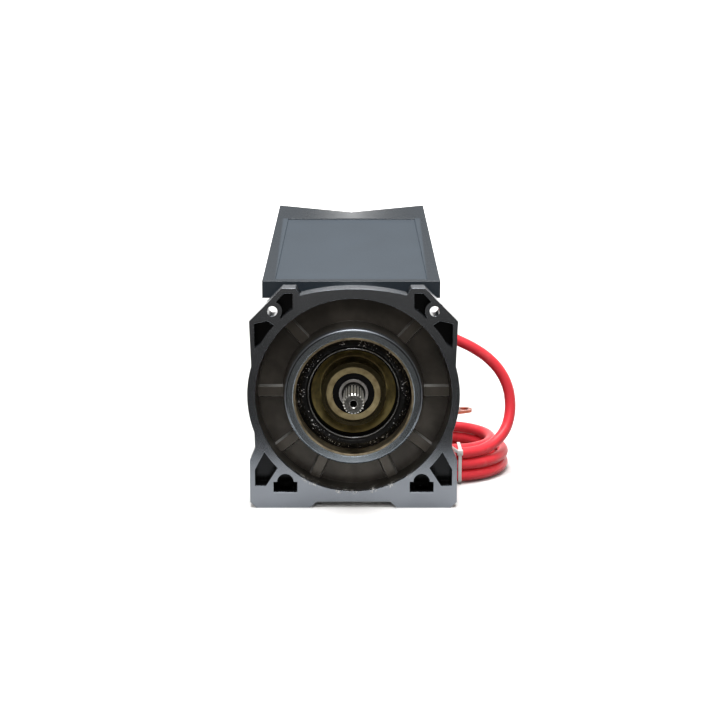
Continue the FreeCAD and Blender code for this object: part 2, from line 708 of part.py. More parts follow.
def make_end_bell():
    """Drive-end bell: spigot in the support, bearing boss, flange and barrel spigot."""
    spigot = s.spigot_radius - s.seat_gap
    lip = spigot - s.bush_wall
    seat = s.bearing_radius + s.seat_gap
    boss = s.bearing_radius + s.boss_wall
    shoulder = s.bearing_front_depth + s.bearing_width
    inner = barrel_bore() - s.seat_gap
    body = turned([
        (s.bell_front, spigot), (s.support_depth, spigot),
        (s.support_depth, s.support_back_radius), (barrel_front(), s.support_back_radius),
        (barrel_front(), inner), (barrel_front() + s.spigot_length, inner),
        (barrel_front() + s.spigot_length, inner - s.spigot_wall),
        (s.bell_web_back, inner - s.spigot_wall), (s.bell_web_back, s.outer_land - s.boss_wall),
        (shoulder, s.outer_land - s.boss_wall), (shoulder, seat), (s.bell_boss_front, seat),
        (s.bell_boss_front, boss), (s.bell_recess_floor, boss),
        (s.bell_recess_floor, boss + s.bell_floor_width), (s.bell_front + s.bell_lip, lip),
        (s.bell_front, lip)])
    holes = [bolt_hole(s.bell_bolt_radius + s.seat_gap, s.bell_bolt_circle, a,
                       s.support_depth - s.past, s.bell_flange + 2 * s.past)
             for a in BELL_BOLT_ANGLES]
    threads = [bolt_hole(s.tie_bolt_radius + s.seat_gap, s.tie_bolt_circle, a,
                         s.bell_web_back - s.tie_bolt_thread, s.tie_bolt_thread + s.past)
               for a in TIE_BOLT_ANGLES]
    keep("end_bell", cut(body, holes + threads))

    bolts = []
    for angle in BELL_BOLT_ANGLES:
        shank = bolt_hole(s.bell_bolt_radius - s.seat_gap, s.bell_bolt_circle, angle,
                          s.support_depth - s.bell_bolt_thread, s.bell_bolt_thread + s.bell_flange)
        head = bolt_hole(s.bell_head_radius, s.bell_bolt_circle, angle,
                         barrel_front(), s.bell_head_height)
        bolts.append(fuse([shank, head]))
    keep("bell_bolts", group(bolts))


def make_bearing(name, front, with_shield):
    """Deep-groove ball bearing: two races, balls and, where it is open to view, a shield."""
    middle = front + s.bearing_width / 2
    back = front + s.bearing_width
    pitch = (s.inner_land + s.outer_land) / 2
    reach = s.ball_radius + s.ball_gap
    outer = turned([
        (front, s.outer_land), (middle - s.groove_half, s.outer_land),
        (middle - s.groove_flat, pitch + reach), (middle + s.groove_flat, pitch + reach),
        (middle + s.groove_half, s.outer_land), (back, s.outer_land),
        (back, s.bearing_radius), (front, s.bearing_radius)])
    keep(name + "_outer_race", outer)
    inner = turned([
        (front, s.journal_radius), (back, s.journal_radius), (back, s.inner_land),
        (middle + s.groove_half, s.inner_land), (middle + s.groove_flat, pitch - reach),
        (middle - s.groove_flat, pitch - reach), (middle - s.groove_half, s.inner_land),
        (front, s.inner_land)])
    keep(name + "_inner_race", inner)
    balls = []
    count = int(s.ball_count.value)
    for i in range(count):
        x, z = on_circle(pitch, 360.0 * i / count)
        ball = doc.addObject("Part::Sphere", "ball")
        bind(ball, "Radius", s.ball_radius)
        balls.append(place(ball, x, depth(middle), z))
    keep(name + "_balls", group(balls))
    if with_shield:
        face = front + s.shield_inset
        shield = turned([
            (face, s.inner_land + s.part_gap), (face + s.shield_width, s.inner_land + s.part_gap),
            (face + s.shield_width, s.outer_land - s.seat_gap),
            (face, s.outer_land - s.seat_gap)])
        keep(name + "_shield", shield)


def make_barrel():
    """Rolled steel barrel with holes for pole screws, saddle bolts and terminals."""
    body = turned([
        (barrel_front(), barrel_bore()), (barrel_back(), barrel_bore()),
        (barrel_back(), s.barrel_radius), (barrel_front(), s.barrel_radius)])
    tools = [pole_cylinder(s.pole_head_radius + s.seat_gap, barrel_bore() - s.past,
                           s.barrel_radius + s.past, a) for a in POLE_ANGLES]
    top = s.axis_height + s.barrel_radius
    for y in saddle_bolt_depths():
        tools.append(cylinder(s.saddle_bolt_radius + s.seat_gap, s.saddle_skirt * 2,
                              (0, depth(y), top - s.saddle_skirt)))
    for x in stud_places():
        tools.append(cylinder(s.insulator_radius + s.seat_gap, s.barrel_radius,
                              (x, depth(s.stud_depth),
                               s.axis_height + s.insulator_inner - s.barrel_wall)))
    keep("motor_barrel", cut(body, tools))


def core_middle():
    return s.core_front + s.core_length / 2


def pole_cylinder(radius, inner, outer, angle):
    """A cylinder along a radius of the motor at a pole's middle."""
    x, z = on_circle(inner, angle)
    turn = round_the_axis(angle).multiply(TURN["x"])
    return cylinder(radius, outer - inner, (x, depth(core_middle()), z), turn)


def make_field():
    """Pole shoes, their screws and the field coils."""
    shoes, screws, coils = [], [], []
    shoe_inner = s.core_radius + s.air_gap
    shoe_outer = barrel_bore() - s.seat_gap
    coil_inner = shoe_inner + s.coil_lift
    coil_start = s.core_front - s.coil_overhang
    coil_length = s.core_length + 2 * s.coil_overhang
    head_inner = s.barrel_radius + s.pole_head_proud - s.pole_head_height
    for angle in POLE_ANGLES:
        shoe = sector(shoe_inner, shoe_outer, s.pole_half_angle, s.core_front, s.core_length, angle)
        thread = pole_cylinder(s.pole_screw_radius, shoe_outer - s.pole_screw_reach,
                               shoe_outer + s.past, angle)
        shoes.append(cut(shoe, [thread]))
        shank = pole_cylinder(s.pole_screw_radius - s.seat_gap, shoe_outer - s.pole_screw_reach,
                              head_inner + s.part_gap, angle)
        head = pole_cylinder(s.pole_head_radius, head_inner,
                             s.barrel_radius + s.pole_head_proud, angle)
        screws.append(fuse([shank, head]))
        ring = sector(coil_inner, coil_inner + s.coil_thick, s.coil_half_angle,
                      coil_start, coil_length, angle)
        window = sector(coil_inner - s.past, coil_inner + s.coil_thick + s.past,
                        s.pole_half_angle + s.part_gap, s.core_front - s.part_gap,
                        s.core_length + 2 * s.part_gap, angle)
        coils.append(cut(ring, [window]))
    keep("pole_shoes", group(shoes))
    keep("pole_screws", group(screws))
    keep("field_coils", group(coils))


def make_armature():
    """Splined shaft, slotted core, end windings and commutator."""
    rear_front = rear_bearing_front()
    rear_back = rear_front + s.bearing_width
    journal = s.journal_radius - s.seat_gap / 2
    drive_back = s.bearing_front_depth + s.bearing_width
    drive_front = s.bearing_front_depth + s.journal_setback
    end = -s.spline_proud
    bevel = s.spline_groove
    mouth = s.centre_hole_bevel
    body = turned([
        (end + mouth, s.centre_hole_radius), (end, s.centre_hole_radius + mouth),
        (end, s.spline_radius - bevel),
        (end + bevel, s.spline_radius), (drive_front, s.spline_radius),
        (drive_front, journal), (drive_back, journal), (drive_back, s.shaft_radius),
        (rear_front, s.shaft_radius), (rear_front, journal), (rear_back, journal),
        (rear_back, 0), (end + s.centre_hole_depth + s.centre_hole_radius, 0),
        (end + s.centre_hole_depth, s.centre_hole_radius)])
    sketch = new_sketch(body, "XZ_Plane", s.spline_proud)
    tip = s.spline_radius + s.part_gap
    root = s.spline_radius - s.spline_groove
    draw_polygon(sketch, [
        (-s.spline_groove_half, tip), (-s.spline_groove_half / 2, root),
        (s.spline_groove_half / 2, root), (s.spline_groove_half, tip)])
    groove = add_feature(body, "Pocket", sketch, s.spline_proud + s.bell_boss_front - bevel, False)
    add_polar_pattern(body, groove, "Y_Axis", s.spline_teeth)
    keep("armature_shaft", body)

    shaft_seat = s.shaft_radius + s.seat_gap
    core_back = s.core_front + s.core_length
    core = turned([
        (s.core_front, shaft_seat), (core_back, shaft_seat),
        (core_back, s.core_radius), (s.core_front, s.core_radius)])
    sketch = new_sketch(core, "XZ_Plane", -s.core_front)
    draw_polygon(sketch, [
        (-s.slot_half, s.core_radius - s.slot_depth), (s.slot_half, s.core_radius - s.slot_depth),
        (s.slot_half, s.core_radius + s.past), (-s.slot_half, s.core_radius + s.past)])
    slot = add_feature(core, "Pocket", sketch, s.core_length, False)
    add_polar_pattern(core, slot, "Y_Axis", s.slot_count)
    keep("armature_core", core)

    ends = []
    for start in (s.core_front - s.winding_length, core_back):
        stop = start + s.winding_length
        ends.append(turned([
            (start, shaft_seat), (stop, shaft_seat),
            (stop, s.winding_radius), (start, s.winding_radius)]))
    keep("end_windings", group(ends))

    start = core_back + s.winding_length
    stop = start + s.commutator_length
    riser = s.commutator_radius + s.boss_wall
    keep("commutator", turned([
        (start, shaft_seat), (stop, shaft_seat), (stop, s.commutator_radius),
        (start + s.bar_thick, s.commutator_radius), (start + s.bar_thick, riser), (start, riser)]))


def brush_back():
    return barrel_back() - s.spigot_length - s.brush_ring_thick


def make_brush_gear():
    """Brush ring on the rear cap's spigot, brushes on the commutator and their springs."""
    ring_outer = barrel_bore() - s.seat_gap - s.part_gap
    ring = turned([
        (brush_back(), s.commutator_radius + s.boss_wall),
        (brush_back() + s.brush_ring_thick, s.commutator_radius + s.boss_wall),
        (brush_back() + s.brush_ring_thick, ring_outer), (brush_back(), ring_outer)])
    holes = [bolt_hole(s.tie_bolt_radius + s.seat_gap, s.tie_bolt_circle, a,
                       brush_back() - s.past, s.brush_ring_thick + 2 * s.past)
             for a in TIE_BOLT_ANGLES]
    keep("brush_ring", cut(ring, holes))
    brushes, springs = [], []
    face = s.commutator_radius + s.part_gap
    for angle in POLE_ANGLES:
        turn = round_the_axis(angle)
        for objs, reach, length in ((brushes, face, s.brush_length),
                                    (springs, face + s.brush_length, s.spring_thick)):
            x = reach * cos_of(angle) + s.brush_width / 2 * sin_of(angle)
            z = s.axis_height + reach * sin_of(angle) - s.brush_width / 2 * cos_of(angle)
            objs.append(box(length, s.brush_depth, s.brush_width,
                            (x, depth(brush_back() - s.brush_depth), z), turn))
    keep("brushes", group(brushes))
    keep("brush_springs", group(springs))


def make_rear_cap():
    """Rear cap with the rear bearing's boss, and the long bolts that clamp the motor."""
    inner = barrel_bore() - s.seat_gap
    front = barrel_back() - s.spigot_length
    back = barrel_back() + s.cap_length
    wall = back - s.cap_wall
    seat_front = rear_bearing_front()
    seat_back = seat_front + s.bearing_width
    seat = s.bearing_radius + s.seat_gap
    boss = s.bearing_radius + s.boss_wall
    body = turned([
        (front, inner - s.spigot_wall), (wall, inner - s.spigot_wall), (wall, boss),
        (seat_front, boss), (seat_front, seat), (seat_back, seat),
        (seat_back, s.outer_land - s.boss_wall), (wall + s.cap_hollow, s.outer_land - s.boss_wall),
        (wall + s.cap_hollow, 0), (back, 0), (back, s.barrel_radius - s.cap_chamfer),
        (back - s.cap_chamfer, s.barrel_radius), (barrel_back(), s.barrel_radius),
        (barrel_back(), inner), (front, inner)])
    holes = [bolt_hole(s.tie_bolt_radius + s.seat_gap, s.tie_bolt_circle, a, wall - s.past,
                       s.cap_wall + 2 * s.past) for a in TIE_BOLT_ANGLES]
    keep("rear_cap", cut(body, holes))
    bolts = []
    start = s.bell_web_back - s.tie_bolt_thread
    for angle in TIE_BOLT_ANGLES:
        shank = bolt_hole(s.tie_bolt_radius, s.tie_bolt_circle, angle, start, back - start)
        head = bolt_hole(s.tie_head_radius, s.tie_bolt_circle, angle, back, s.tie_head_height)
        bolts.append(fuse([shank, head]))
    keep("through_bolts", group(bolts))


def stud_places():
    return [-s.stud_pitch, Dim.of(0), s.stud_pitch]


def saddle_bolt_depths():
    return [s.saddle_front + s.saddle_bolt_inset,
            s.saddle_front + s.saddle_length - s.saddle_bolt_inset]


def floor_z():
    return s.axis_height + s.box_floor


def plate_top():
    return floor_z() + s.base_plate


def make_terminals():
    """Motor terminals that rise into the control box, with bus bars to the contactor."""
    top = plate_top() + s.insulator_proud
    insulators, studs, nuts, bars = [], [], [], []
    y = depth(s.stud_depth)
    contactor_back = s.contactor_front + s.contactor_length
    for x in stud_places():
        low = s.axis_height + s.insulator_inner
        bush = cylinder(s.insulator_radius, top - low, (x, y, low))
        bore = cylinder(s.stud_radius + s.seat_gap, top - low + 2 * s.past, (x, y, low - s.past))
        insulators.append(cut(bush, [bore]))
        low = s.axis_height + s.stud_inner
        studs.append(cylinder(s.stud_radius, top + s.stud_proud - low, (x, y, low)))
        bar = box(s.bar_width, s.stud_depth + s.bar_end - contactor_back, s.bar_thick,
                  (x - s.bar_width / 2, depth(contactor_back), top))
        hole = cylinder(s.stud_radius + s.seat_gap, s.bar_thick + 2 * s.past,
                        (x, y, top - s.past))
        bars.append(cut(bar, [hole]))
        prism = doc.addObject("Part::Prism", "hexagon")
        prism.Polygon = 6
        bind(prism, "Circumradius", s.nut_across / (2 * cos_of(30)))
        bind(prism, "Height", s.nut_height)
        place(prism, x, y, top + s.bar_thick)
        hole = cylinder(s.stud_radius + s.seat_gap, s.nut_height + 2 * s.past,
                        (x, y, top + s.bar_thick - s.past))
        nuts.append(cut(prism, [hole]))
    keep("terminal_insulators", group(insulators))
    keep("terminal_studs", group(studs))
    keep("terminal_nuts", group(nuts))
    keep("bus_bars", group(bars))
    keep("contactor", box(2 * s.contactor_half, s.contactor_length, s.contactor_height,
                          (s.box_offset - s.contactor_half, depth(s.contactor_front), plate_top())))


def wedge(front_half, rear_half, low, front_top, rear_top, start, length):
    """Block of the control box's form: narrower and taller towards its rear."""
    obj = doc.addObject("Part::Wedge", "wedge")
    limits = {"Xmin": -front_half, "Xmax": front_half, "X2min": -rear_half, "X2max": rear_half,
              "Ymin": Dim.of(0), "Ymax": length, "Zmin": low, "Z2min": low,
              "Zmax": front_top, "Z2max": rear_top}
    for prop, size in limits.items():
        setattr(obj, prop, size.value)
    for prop, size in limits.items():
        bind(obj, prop, size)
    return place(obj, s.box_offset, depth(start), s.axis_height)


def box_slope():
    return (s.box_rear_top - s.box_front_top) / s.box_length


def box_top_at(start):
    """Top of the box above the axis at a distance behind its front."""
    return s.box_front_top + box_slope() * start


def box_taper():
    return (s.box_front_half - s.box_rear_half) / s.box_length


def inset_wedge(inset, low, drop, start, length):
    """A wedge inside the box: its sides by an inset, its top by a drop below the outside."""
    front_half = s.box_front_half - box_taper() * start - inset
    rear_half = s.box_front_half - box_taper() * (start + length) - inset
    front_top = box_top_at(start) - drop
    rear_top = box_top_at(start + length) - drop
    return wedge(front_half, rear_half, low, front_top, rear_top, s.box_front + start, length)


def post_places():
    """X and depth of the four screw posts."""
    places = []
    for start in (s.post_inset, s.box_length - s.post_inset):
        half = s.box_front_half - box_taper() * start - s.post_inset
        for side in (-1, 1):
            places.append((s.box_offset + side * half, s.box_front + start))
    return places


def make_box_cover():
    """Wedge-shaped cover with a sunk top panel, a dipped rear edge and screw posts."""
    shell = inset_wedge(Dim.of(0), s.box_floor, Dim.of(0), Dim.of(0), s.box_length)
    low = s.box_floor - s.past
    roof = s.box_wall + s.panel_sink
    middle = s.box_length - s.panel_rear
    hollow = cut(shell, [
        inset_wedge(s.box_wall, low, roof, s.box_wall, middle - s.box_wall),
        inset_wedge(s.box_wall, low, roof + s.box_dip, middle - s.past,
                    s.panel_rear + s.past - s.box_wall)])
    post_low = s.box_floor + s.base_plate
    posts = [cylinder(s.post_radius, s.box_rear_top - post_low,
                      (x, depth(y), s.axis_height + post_low)) for x, y in post_places()]
    solid = inset_wedge(Dim.of(0), s.box_floor, s.panel_sink, Dim.of(0), s.box_length)
    clipped = doc.addObject("Part::Common", "posts")
    clipped.Base = fuse(posts)
    clipped.Tool = solid
    body = fuse([hollow, clipped])
    panel_length = s.box_length - s.panel_front - s.panel_rear
    panel = inset_wedge(s.panel_side, s.box_rear_top, -s.box_length, s.panel_front, panel_length)
    bind(panel, "Zmin", box_top_at(s.panel_front) - s.panel_sink)
    bind(panel, "Z2min", box_top_at(s.panel_front + panel_length) - s.panel_sink)
    tools = [panel, rear_dip()]
    for x, y in post_places():
        tools.append(cylinder(s.cover_screw_radius + s.seat_gap,
                              s.cover_screw_length + s.cover_screw_room,
                              (x, depth(y), s.axis_height + post_low - s.past)))
    keep("box_cover", cut(body, tools))


def rear_dip():
    """What is cut from the rear border: nothing at the panel, a shallow V at the rear edge."""
    first = s.box_length - s.panel_rear
    last = s.box_length + s.past
    over = s.box_rear_top + s.box_dip
    sections = []
    for start, dip in ((first, Dim.of(0)), (last, s.box_dip)):
        half = s.box_front_half - box_taper() * start
        top = box_top_at(start)
        section = doc.addObject("Sketcher::SketchObject", "dip_section")
        draw_polygon(section, [(-half, top), (0, top - dip), (half, top),
                               (half, over), (-half, over)])
        place(section, s.box_offset, depth(s.box_front + start), s.axis_height,
              FreeCAD.Rotation(V(1, 0, 0), 90))
        sections.append(section)
    loft = doc.addObject("Part::Loft", "dip")
    loft.Sections = sections
    loft.Solid = True
    loft.Ruled = True
    return loft


def make_box_base():
    """Base plate inside the cover's skirt, the saddle under it and their fasteners."""
    inset = s.box_wall + s.part_gap
    plate = wedge(s.box_front_half - inset, s.box_rear_half - inset, s.box_floor, plate_high(),
                  plate_high(), s.box_front + inset, s.box_length - 2 * inset)
    low = floor_z() - s.past
    through = s.base_plate + 2 * s.past
    tools = [cylinder(s.cover_screw_radius + s.seat_gap, through, (x, depth(y), low))
             for x, y in post_places()]
    tools += [cylinder(s.insulator_radius + s.seat_gap, through, (x, depth(s.stud_depth), low))
              for x in stud_places()]
    tools += [cylinder(s.saddle_bolt_radius + s.seat_gap, through, (0, depth(y), low))
              for y in saddle_bolt_depths()]
    tools.append(cylinder(s.gland_neck + s.seat_gap, through, (s.gland_x, depth(s.gland_depth), low)))
    keep("box_base", cut(plate, tools))

    screws = []
    for x, y in post_places():
        shank = cylinder(s.cover_screw_radius, s.base_plate + s.cover_screw_length,
                         (x, depth(y), floor_z()))
        head = cylinder(s.cover_head_radius, s.cover_head_height, (x, depth(y), floor_z()), "-z")
        screws.append(fuse([shank, head]))
    keep("cover_screws", group(screws))

    saddle_low = s.axis_height + s.barrel_radius - s.saddle_skirt
    block = box(2 * s.saddle_half, s.saddle_length, floor_z() - saddle_low,
                (-s.saddle_half, depth(s.saddle_front), saddle_low))
    barrel = cylinder(s.barrel_radius + s.seat_gap, s.saddle_length + 2 * s.past,
                      (0, depth(s.saddle_front) - s.past, s.axis_height), "y")
    holes = [cylinder(s.saddle_bolt_radius + s.seat_gap, floor_z() - saddle_low + 2 * s.past,
                      (0, depth(y), saddle_low - s.past)) for y in saddle_bolt_depths()]
    keep("box_saddle", cut(block, [barrel] + holes))
    bolts = []
    for y in saddle_bolt_depths():
        tip = s.axis_height + barrel_bore() + s.part_gap
        shank = cylinder(s.saddle_bolt_radius, plate_top() - tip, (0, depth(y), tip))
        head = cylinder(s.saddle_head_radius, s.saddle_head_height, (0, depth(y), plate_top()))
        bolts.append(fuse([shank, head]))
    keep("saddle_bolts", group(bolts))


def plate_high():
    return s.box_floor + s.base_plate


def make_gland():
    """Rubber gland of the battery lead in the base plate."""
    bore = s.cable_radius + s.seat_gap
    low = floor_z()
    high = plate_top()
    keep("lead_gland", turned_upright([
        (bore, low - s.gland_drop), (s.gland_tip, low - s.gland_drop),
        (s.gland_flange, low - s.gland_collar), (s.gland_flange, low), (s.gland_neck, low),
        (s.gland_neck, high), (s.gland_flange, high), (s.gland_flange, high + s.gland_collar),
        (bore, high + s.gland_collar)], s.gland_x, depth(s.gland_depth)))


def rounded_route(points):
    """Straight runs joined by tangent arcs, each arc as large as its two runs allow."""
    edges = []
    radii = []
    start = points[0]
    for before, corner, after in zip(points, points[1:], points[2:]):
        back = (before - corner).normalize()
        ahead = (after - corner).normalize()
        turn = math.pi - back.getAngle(ahead)
        trim = ARC_SHARE * min((before - corner).Length, (after - corner).Length)
        radius = trim / math.tan(turn / 2)
        radii.append(radius)
        first = corner + back * trim
        last = corner + ahead * trim
        bisector = (back + ahead).normalize()
        middle = corner + bisector * (math.hypot(radius, trim) - radius)
        edges.append(Part.LineSegment(start, first).toShape())
        edges.append(Part.Arc(first, middle, last).toShape())
        start = last
    edges.append(Part.LineSegment(start, points[-1]).toShape())
    return Part.Wire(edges), radii


def make_lead():
    """Battery lead: the run from its gland, the tied coil, the end on top and its lug."""
    points = [V(x, y - s.bolt_line_depth.value, z) for x, y, z in LEAD_ROUTE]
    route, radii = rounded_route(points)
    print("lead radii:", ", ".join("%.0f" % r for r in radii), "length %.1f" % route.Length)
    radius = s.cable_radius.value
    section = Part.Wire(Part.makeCircle(radius, points[0], points[1] - points[0]))
    tube = route.makePipeShell([section], True, False)
    expected = math.pi * radius ** 2 * route.Length
    if abs(tube.Volume - expected) > 0.01 * expected:
        raise RuntimeError("lead volume %.1f, expected %.1f" % (tube.Volume, expected))
    run = doc.addObject("Part::Feature", "lead")
    run.Shape = tube
    keep("lead_run", run)

    x = s.hank_x
    y = depth(s.hank_depth)
    corner = s.hank_corner
    keep("lead_coil", turned_upright([
        (s.hank_inner + corner, s.hank_low), (s.hank_outer - corner, s.hank_low),
        (s.hank_outer, s.hank_low + corner), (s.hank_outer, s.hank_high - corner),
        (s.hank_outer - corner, s.hank_high), (s.hank_inner + corner, s.hank_high),
        (s.hank_inner, s.hank_high - corner), (s.hank_inner, s.hank_low + corner)], x, y))

    tie_x = x + s.tie_shift
    low = s.hank_low - s.seat_gap
    high = s.hank_high + s.seat_gap
    near = s.hank_outer + s.seat_gap
    far = s.hank_inner - s.tie_slack - s.seat_gap
    strap = box(s.tie_width, near - far + 2 * s.tie_thick, high - low + 2 * s.tie_thick,
                (tie_x - s.tie_width / 2, y - near - s.tie_thick, low - s.tie_thick))
    window = box(s.tie_width + 2 * s.past, near - far, high - low,
                 (tie_x - s.tie_width / 2 - s.past, y - near, low))
    keep("coil_tie", cut(strap, [window]))

    middle = (s.hank_inner + s.hank_outer) / 2
    lie = s.hank_high + s.cable_radius + s.seat_gap
    tail = doc.addObject("Part::Torus", "tail")
    bind(tail, "Radius1", middle)
    bind(tail, "Radius2", s.cable_radius)
    bind(tail, "Angle3", s.tail_start - s.tail_end)
    place(tail, x, y, lie, FreeCAD.Rotation(V(0, 0, 1), s.tail_end.value))
    keep("lead_tail", tail)

    heading = s.tail_end - 90
    end_x = x + middle * cos_of(s.tail_end)
    end_y = y + middle * sin_of(s.tail_end)
    swing = FreeCAD.Rotation(V(0, 0, 1), heading.value)
    along = swing.multiply(TURN["x"])
    sleeve_low = lie + s.sleeve_radius - s.cable_radius
    keep("lug_sleeve", cylinder(s.sleeve_radius, s.sleeve_length, (end_x, end_y, sleeve_low), along))
    tip_x = end_x + s.sleeve_length * cos_of(heading)
    tip_y = end_y + s.sleeve_length * sin_of(heading)
    side = s.lug_width / 2
    flat = s.lug_length - side
    tongue = box(flat, s.lug_width, s.lug_thick,
                 (tip_x + side * sin_of(heading), tip_y - side * cos_of(heading),
                  sleeve_low - s.lug_thick / 2), swing)
    eye_x = tip_x + flat * cos_of(heading)
    eye_y = tip_y + flat * sin_of(heading)
    eye = cylinder(side, s.lug_thick, (eye_x, eye_y, sleeve_low - s.lug_thick / 2))
    hole = cylinder(s.lug_hole_radius, s.lug_thick + 2 * s.past,
                    (eye_x, eye_y, sleeve_low - s.lug_thick / 2 - s.past))
    keep("lead_lug", cut(fuse([tongue, eye]), [hole]))


def build():
    make_drum_support()
    make_front_seat()
    make_end_bell()
    make_bearing("drive_bearing", s.bearing_front_depth, True)
    make_bearing("rear_bearing", rear_bearing_front(), False)
    make_barrel()
    make_field()
    make_armature()
    make_brush_gear()
    make_rear_cap()
    make_terminals()
    make_box_base()
    make_box_cover()
    make_gland()
    make_lead()
    doc.recompute()


def check_and_export():
    faults = [o.Name for o in doc.Objects if {"Invalid", "Error"} & set(o.State)]
    if faults:
        raise RuntimeError("failed objects: " + ", ".join(faults))
    os.makedirs("parts", exist_ok=True)
    for label, obj in nodes.items():
        shape = obj.Shape
        if shape.isNull() or not shape.isValid() or not shape.Solids:
            raise RuntimeError("bad shape: " + label)
        print("%-26s solids %d volume %.0f" % (label, len(shape.Solids), shape.Volume))
    for label, obj in nodes.items():
        obj.Shape.exportStep("parts/%s.step" % label)


build()
check_and_export()
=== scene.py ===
"""Looks of the motor half of an electric winch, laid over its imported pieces."""
import math

import bmesh
import bpy
from bpy.props import FloatProperty, FloatVectorProperty, IntProperty, PointerProperty
from mathutils import Matrix, Vector, noise


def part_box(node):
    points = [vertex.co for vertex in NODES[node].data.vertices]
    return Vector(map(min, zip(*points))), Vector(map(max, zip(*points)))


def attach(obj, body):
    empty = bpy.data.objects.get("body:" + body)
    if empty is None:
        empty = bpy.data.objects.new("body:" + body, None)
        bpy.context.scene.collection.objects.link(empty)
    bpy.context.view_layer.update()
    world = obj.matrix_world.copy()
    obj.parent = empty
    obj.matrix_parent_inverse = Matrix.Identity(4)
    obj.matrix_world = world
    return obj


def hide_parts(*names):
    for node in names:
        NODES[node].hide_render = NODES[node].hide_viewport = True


bl_info = {
    "name": "Winch motor half",
    "version": (1, 0, 0),
    "blender": (4, 5, 0),
    "location": "View3D > Sidebar > Winch",
    "description": "Finishes, battery lead, grease and stage for the motor half of a winch",
    "category": "Object",
}

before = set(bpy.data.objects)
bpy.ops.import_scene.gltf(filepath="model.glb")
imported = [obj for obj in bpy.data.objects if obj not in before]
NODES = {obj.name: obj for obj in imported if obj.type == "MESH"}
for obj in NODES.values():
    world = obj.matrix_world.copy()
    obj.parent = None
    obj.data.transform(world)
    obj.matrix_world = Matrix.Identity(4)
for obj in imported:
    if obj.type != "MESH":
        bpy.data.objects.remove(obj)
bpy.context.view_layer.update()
MM = 0.001


def middle_of(node):
    """Middle of a CAD node's box."""
    low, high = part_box(node)
    return (low + high) / 2


# Places taken from the frame. The hub stands proud of the casting's face.
AXIS_Z = middle_of("drive_bearing_outer_race").z
HUB_PROUD = 5 * MM
FACE_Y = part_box("drum_support")[0].y + HUB_PROUD
COIL_LOW, COIL_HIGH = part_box("lead_coil")
COIL_MIDDLE = middle_of("lead_coil")
COIL_OUTER = (COIL_HIGH.x - COIL_LOW.x) / 2
TIE_LOW, TIE_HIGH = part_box("coil_tie")
TAIL_Z = middle_of("lead_tail").z

# Lead's line from its gland to the coil, in metres, a few millimetres off the CAD lead at most.
LEAD_ROUTE = [
    (0.0590, 0.0980, 0.1676), (0.0590, 0.0980, 0.1546), (0.0625, 0.0982, 0.1438),
    (0.0697, 0.0986, 0.1347), (0.0805, 0.0992, 0.1274), (0.0945, 0.0997, 0.1214),
    (0.1103, 0.1000, 0.1138), (0.1252, 0.0998, 0.1037), (0.1370, 0.0988, 0.0900),
    (0.1436, 0.0968, 0.0740), (0.1445, 0.0930, 0.0560), (0.1400, 0.0855, 0.0414),
    (0.1295, 0.0755, 0.0315), (0.1172, 0.0660, 0.0275),
]

# Coil: its turns, the step to the inner ones in lead diameters, and where the end stops in degrees.
COIL_TURNS = 5
INNER_STEP = 1.14
TAIL_STOP = 115.0

# Degrees along a turn, along the whole coil and along the end, over which the lead changes place.
LEVEL_CHANGE = (130, 215)
INWARD_CHANGE = (790, 870)
TAIL_LIFT = (28, 128)

# Drum support: radii from the shaft axis, and depths behind its front face.
DISH_RADIUS = 82.6 * MM
HUB_RADIUS = 60 * MM
BEVEL_RADIUS = 54.9 * MM
BEVEL_MIDDLE = 56.5 * MM
POCKET_RADIUS = 84 * MM
SIDE_RADIUS = 82 * MM
CHIP_INNER = 81 * MM
CHIP_OUTER = 85.2 * MM
RIB_TOP = 15.5 * MM
RIB_FOOT = 18 * MM

# Drive end: radii from the shaft axis, and how far the spline stands out of the grease.
TOOTH_TIP = 8.35 * MM
# Past RACE_RIM the race carries painted shade.
RACE_RIM = 22.3 * MM
# Inside BOSS_RADIUS the end bell carries a painted shadow.
BOSS_RADIUS = 29.4 * MM
BELL_LIP = 35.4 * MM
SPLINE_CLEAN = 27 * MM

# Control box: borders of the sunk panel.
PANEL_SIDE = 10 * MM
PANEL_FRONT = 3 * MM
PANEL_REAR = 31 * MM

# Stage: half its width, the glowing wall and its top, and where the mirrored floor starts.
STAGE_REACH = 8.0
WALL_Y = 1.3
WALL_TOP = 0.62
MIRROR_Y = -0.15

GREASE_BLACK = (0.008, 0.008, 0.007, 1)


def length_prop(name, description, default):
    """A length that a user may change, in metres."""
    return FloatProperty(name=name, description=description, default=default, unit="LENGTH")


def colour_prop(name, description, default):
    """A colour that a user may change."""
    return FloatVectorProperty(name=name, description=description, default=default,
                               subtype="COLOR", min=0.0, max=1.0)


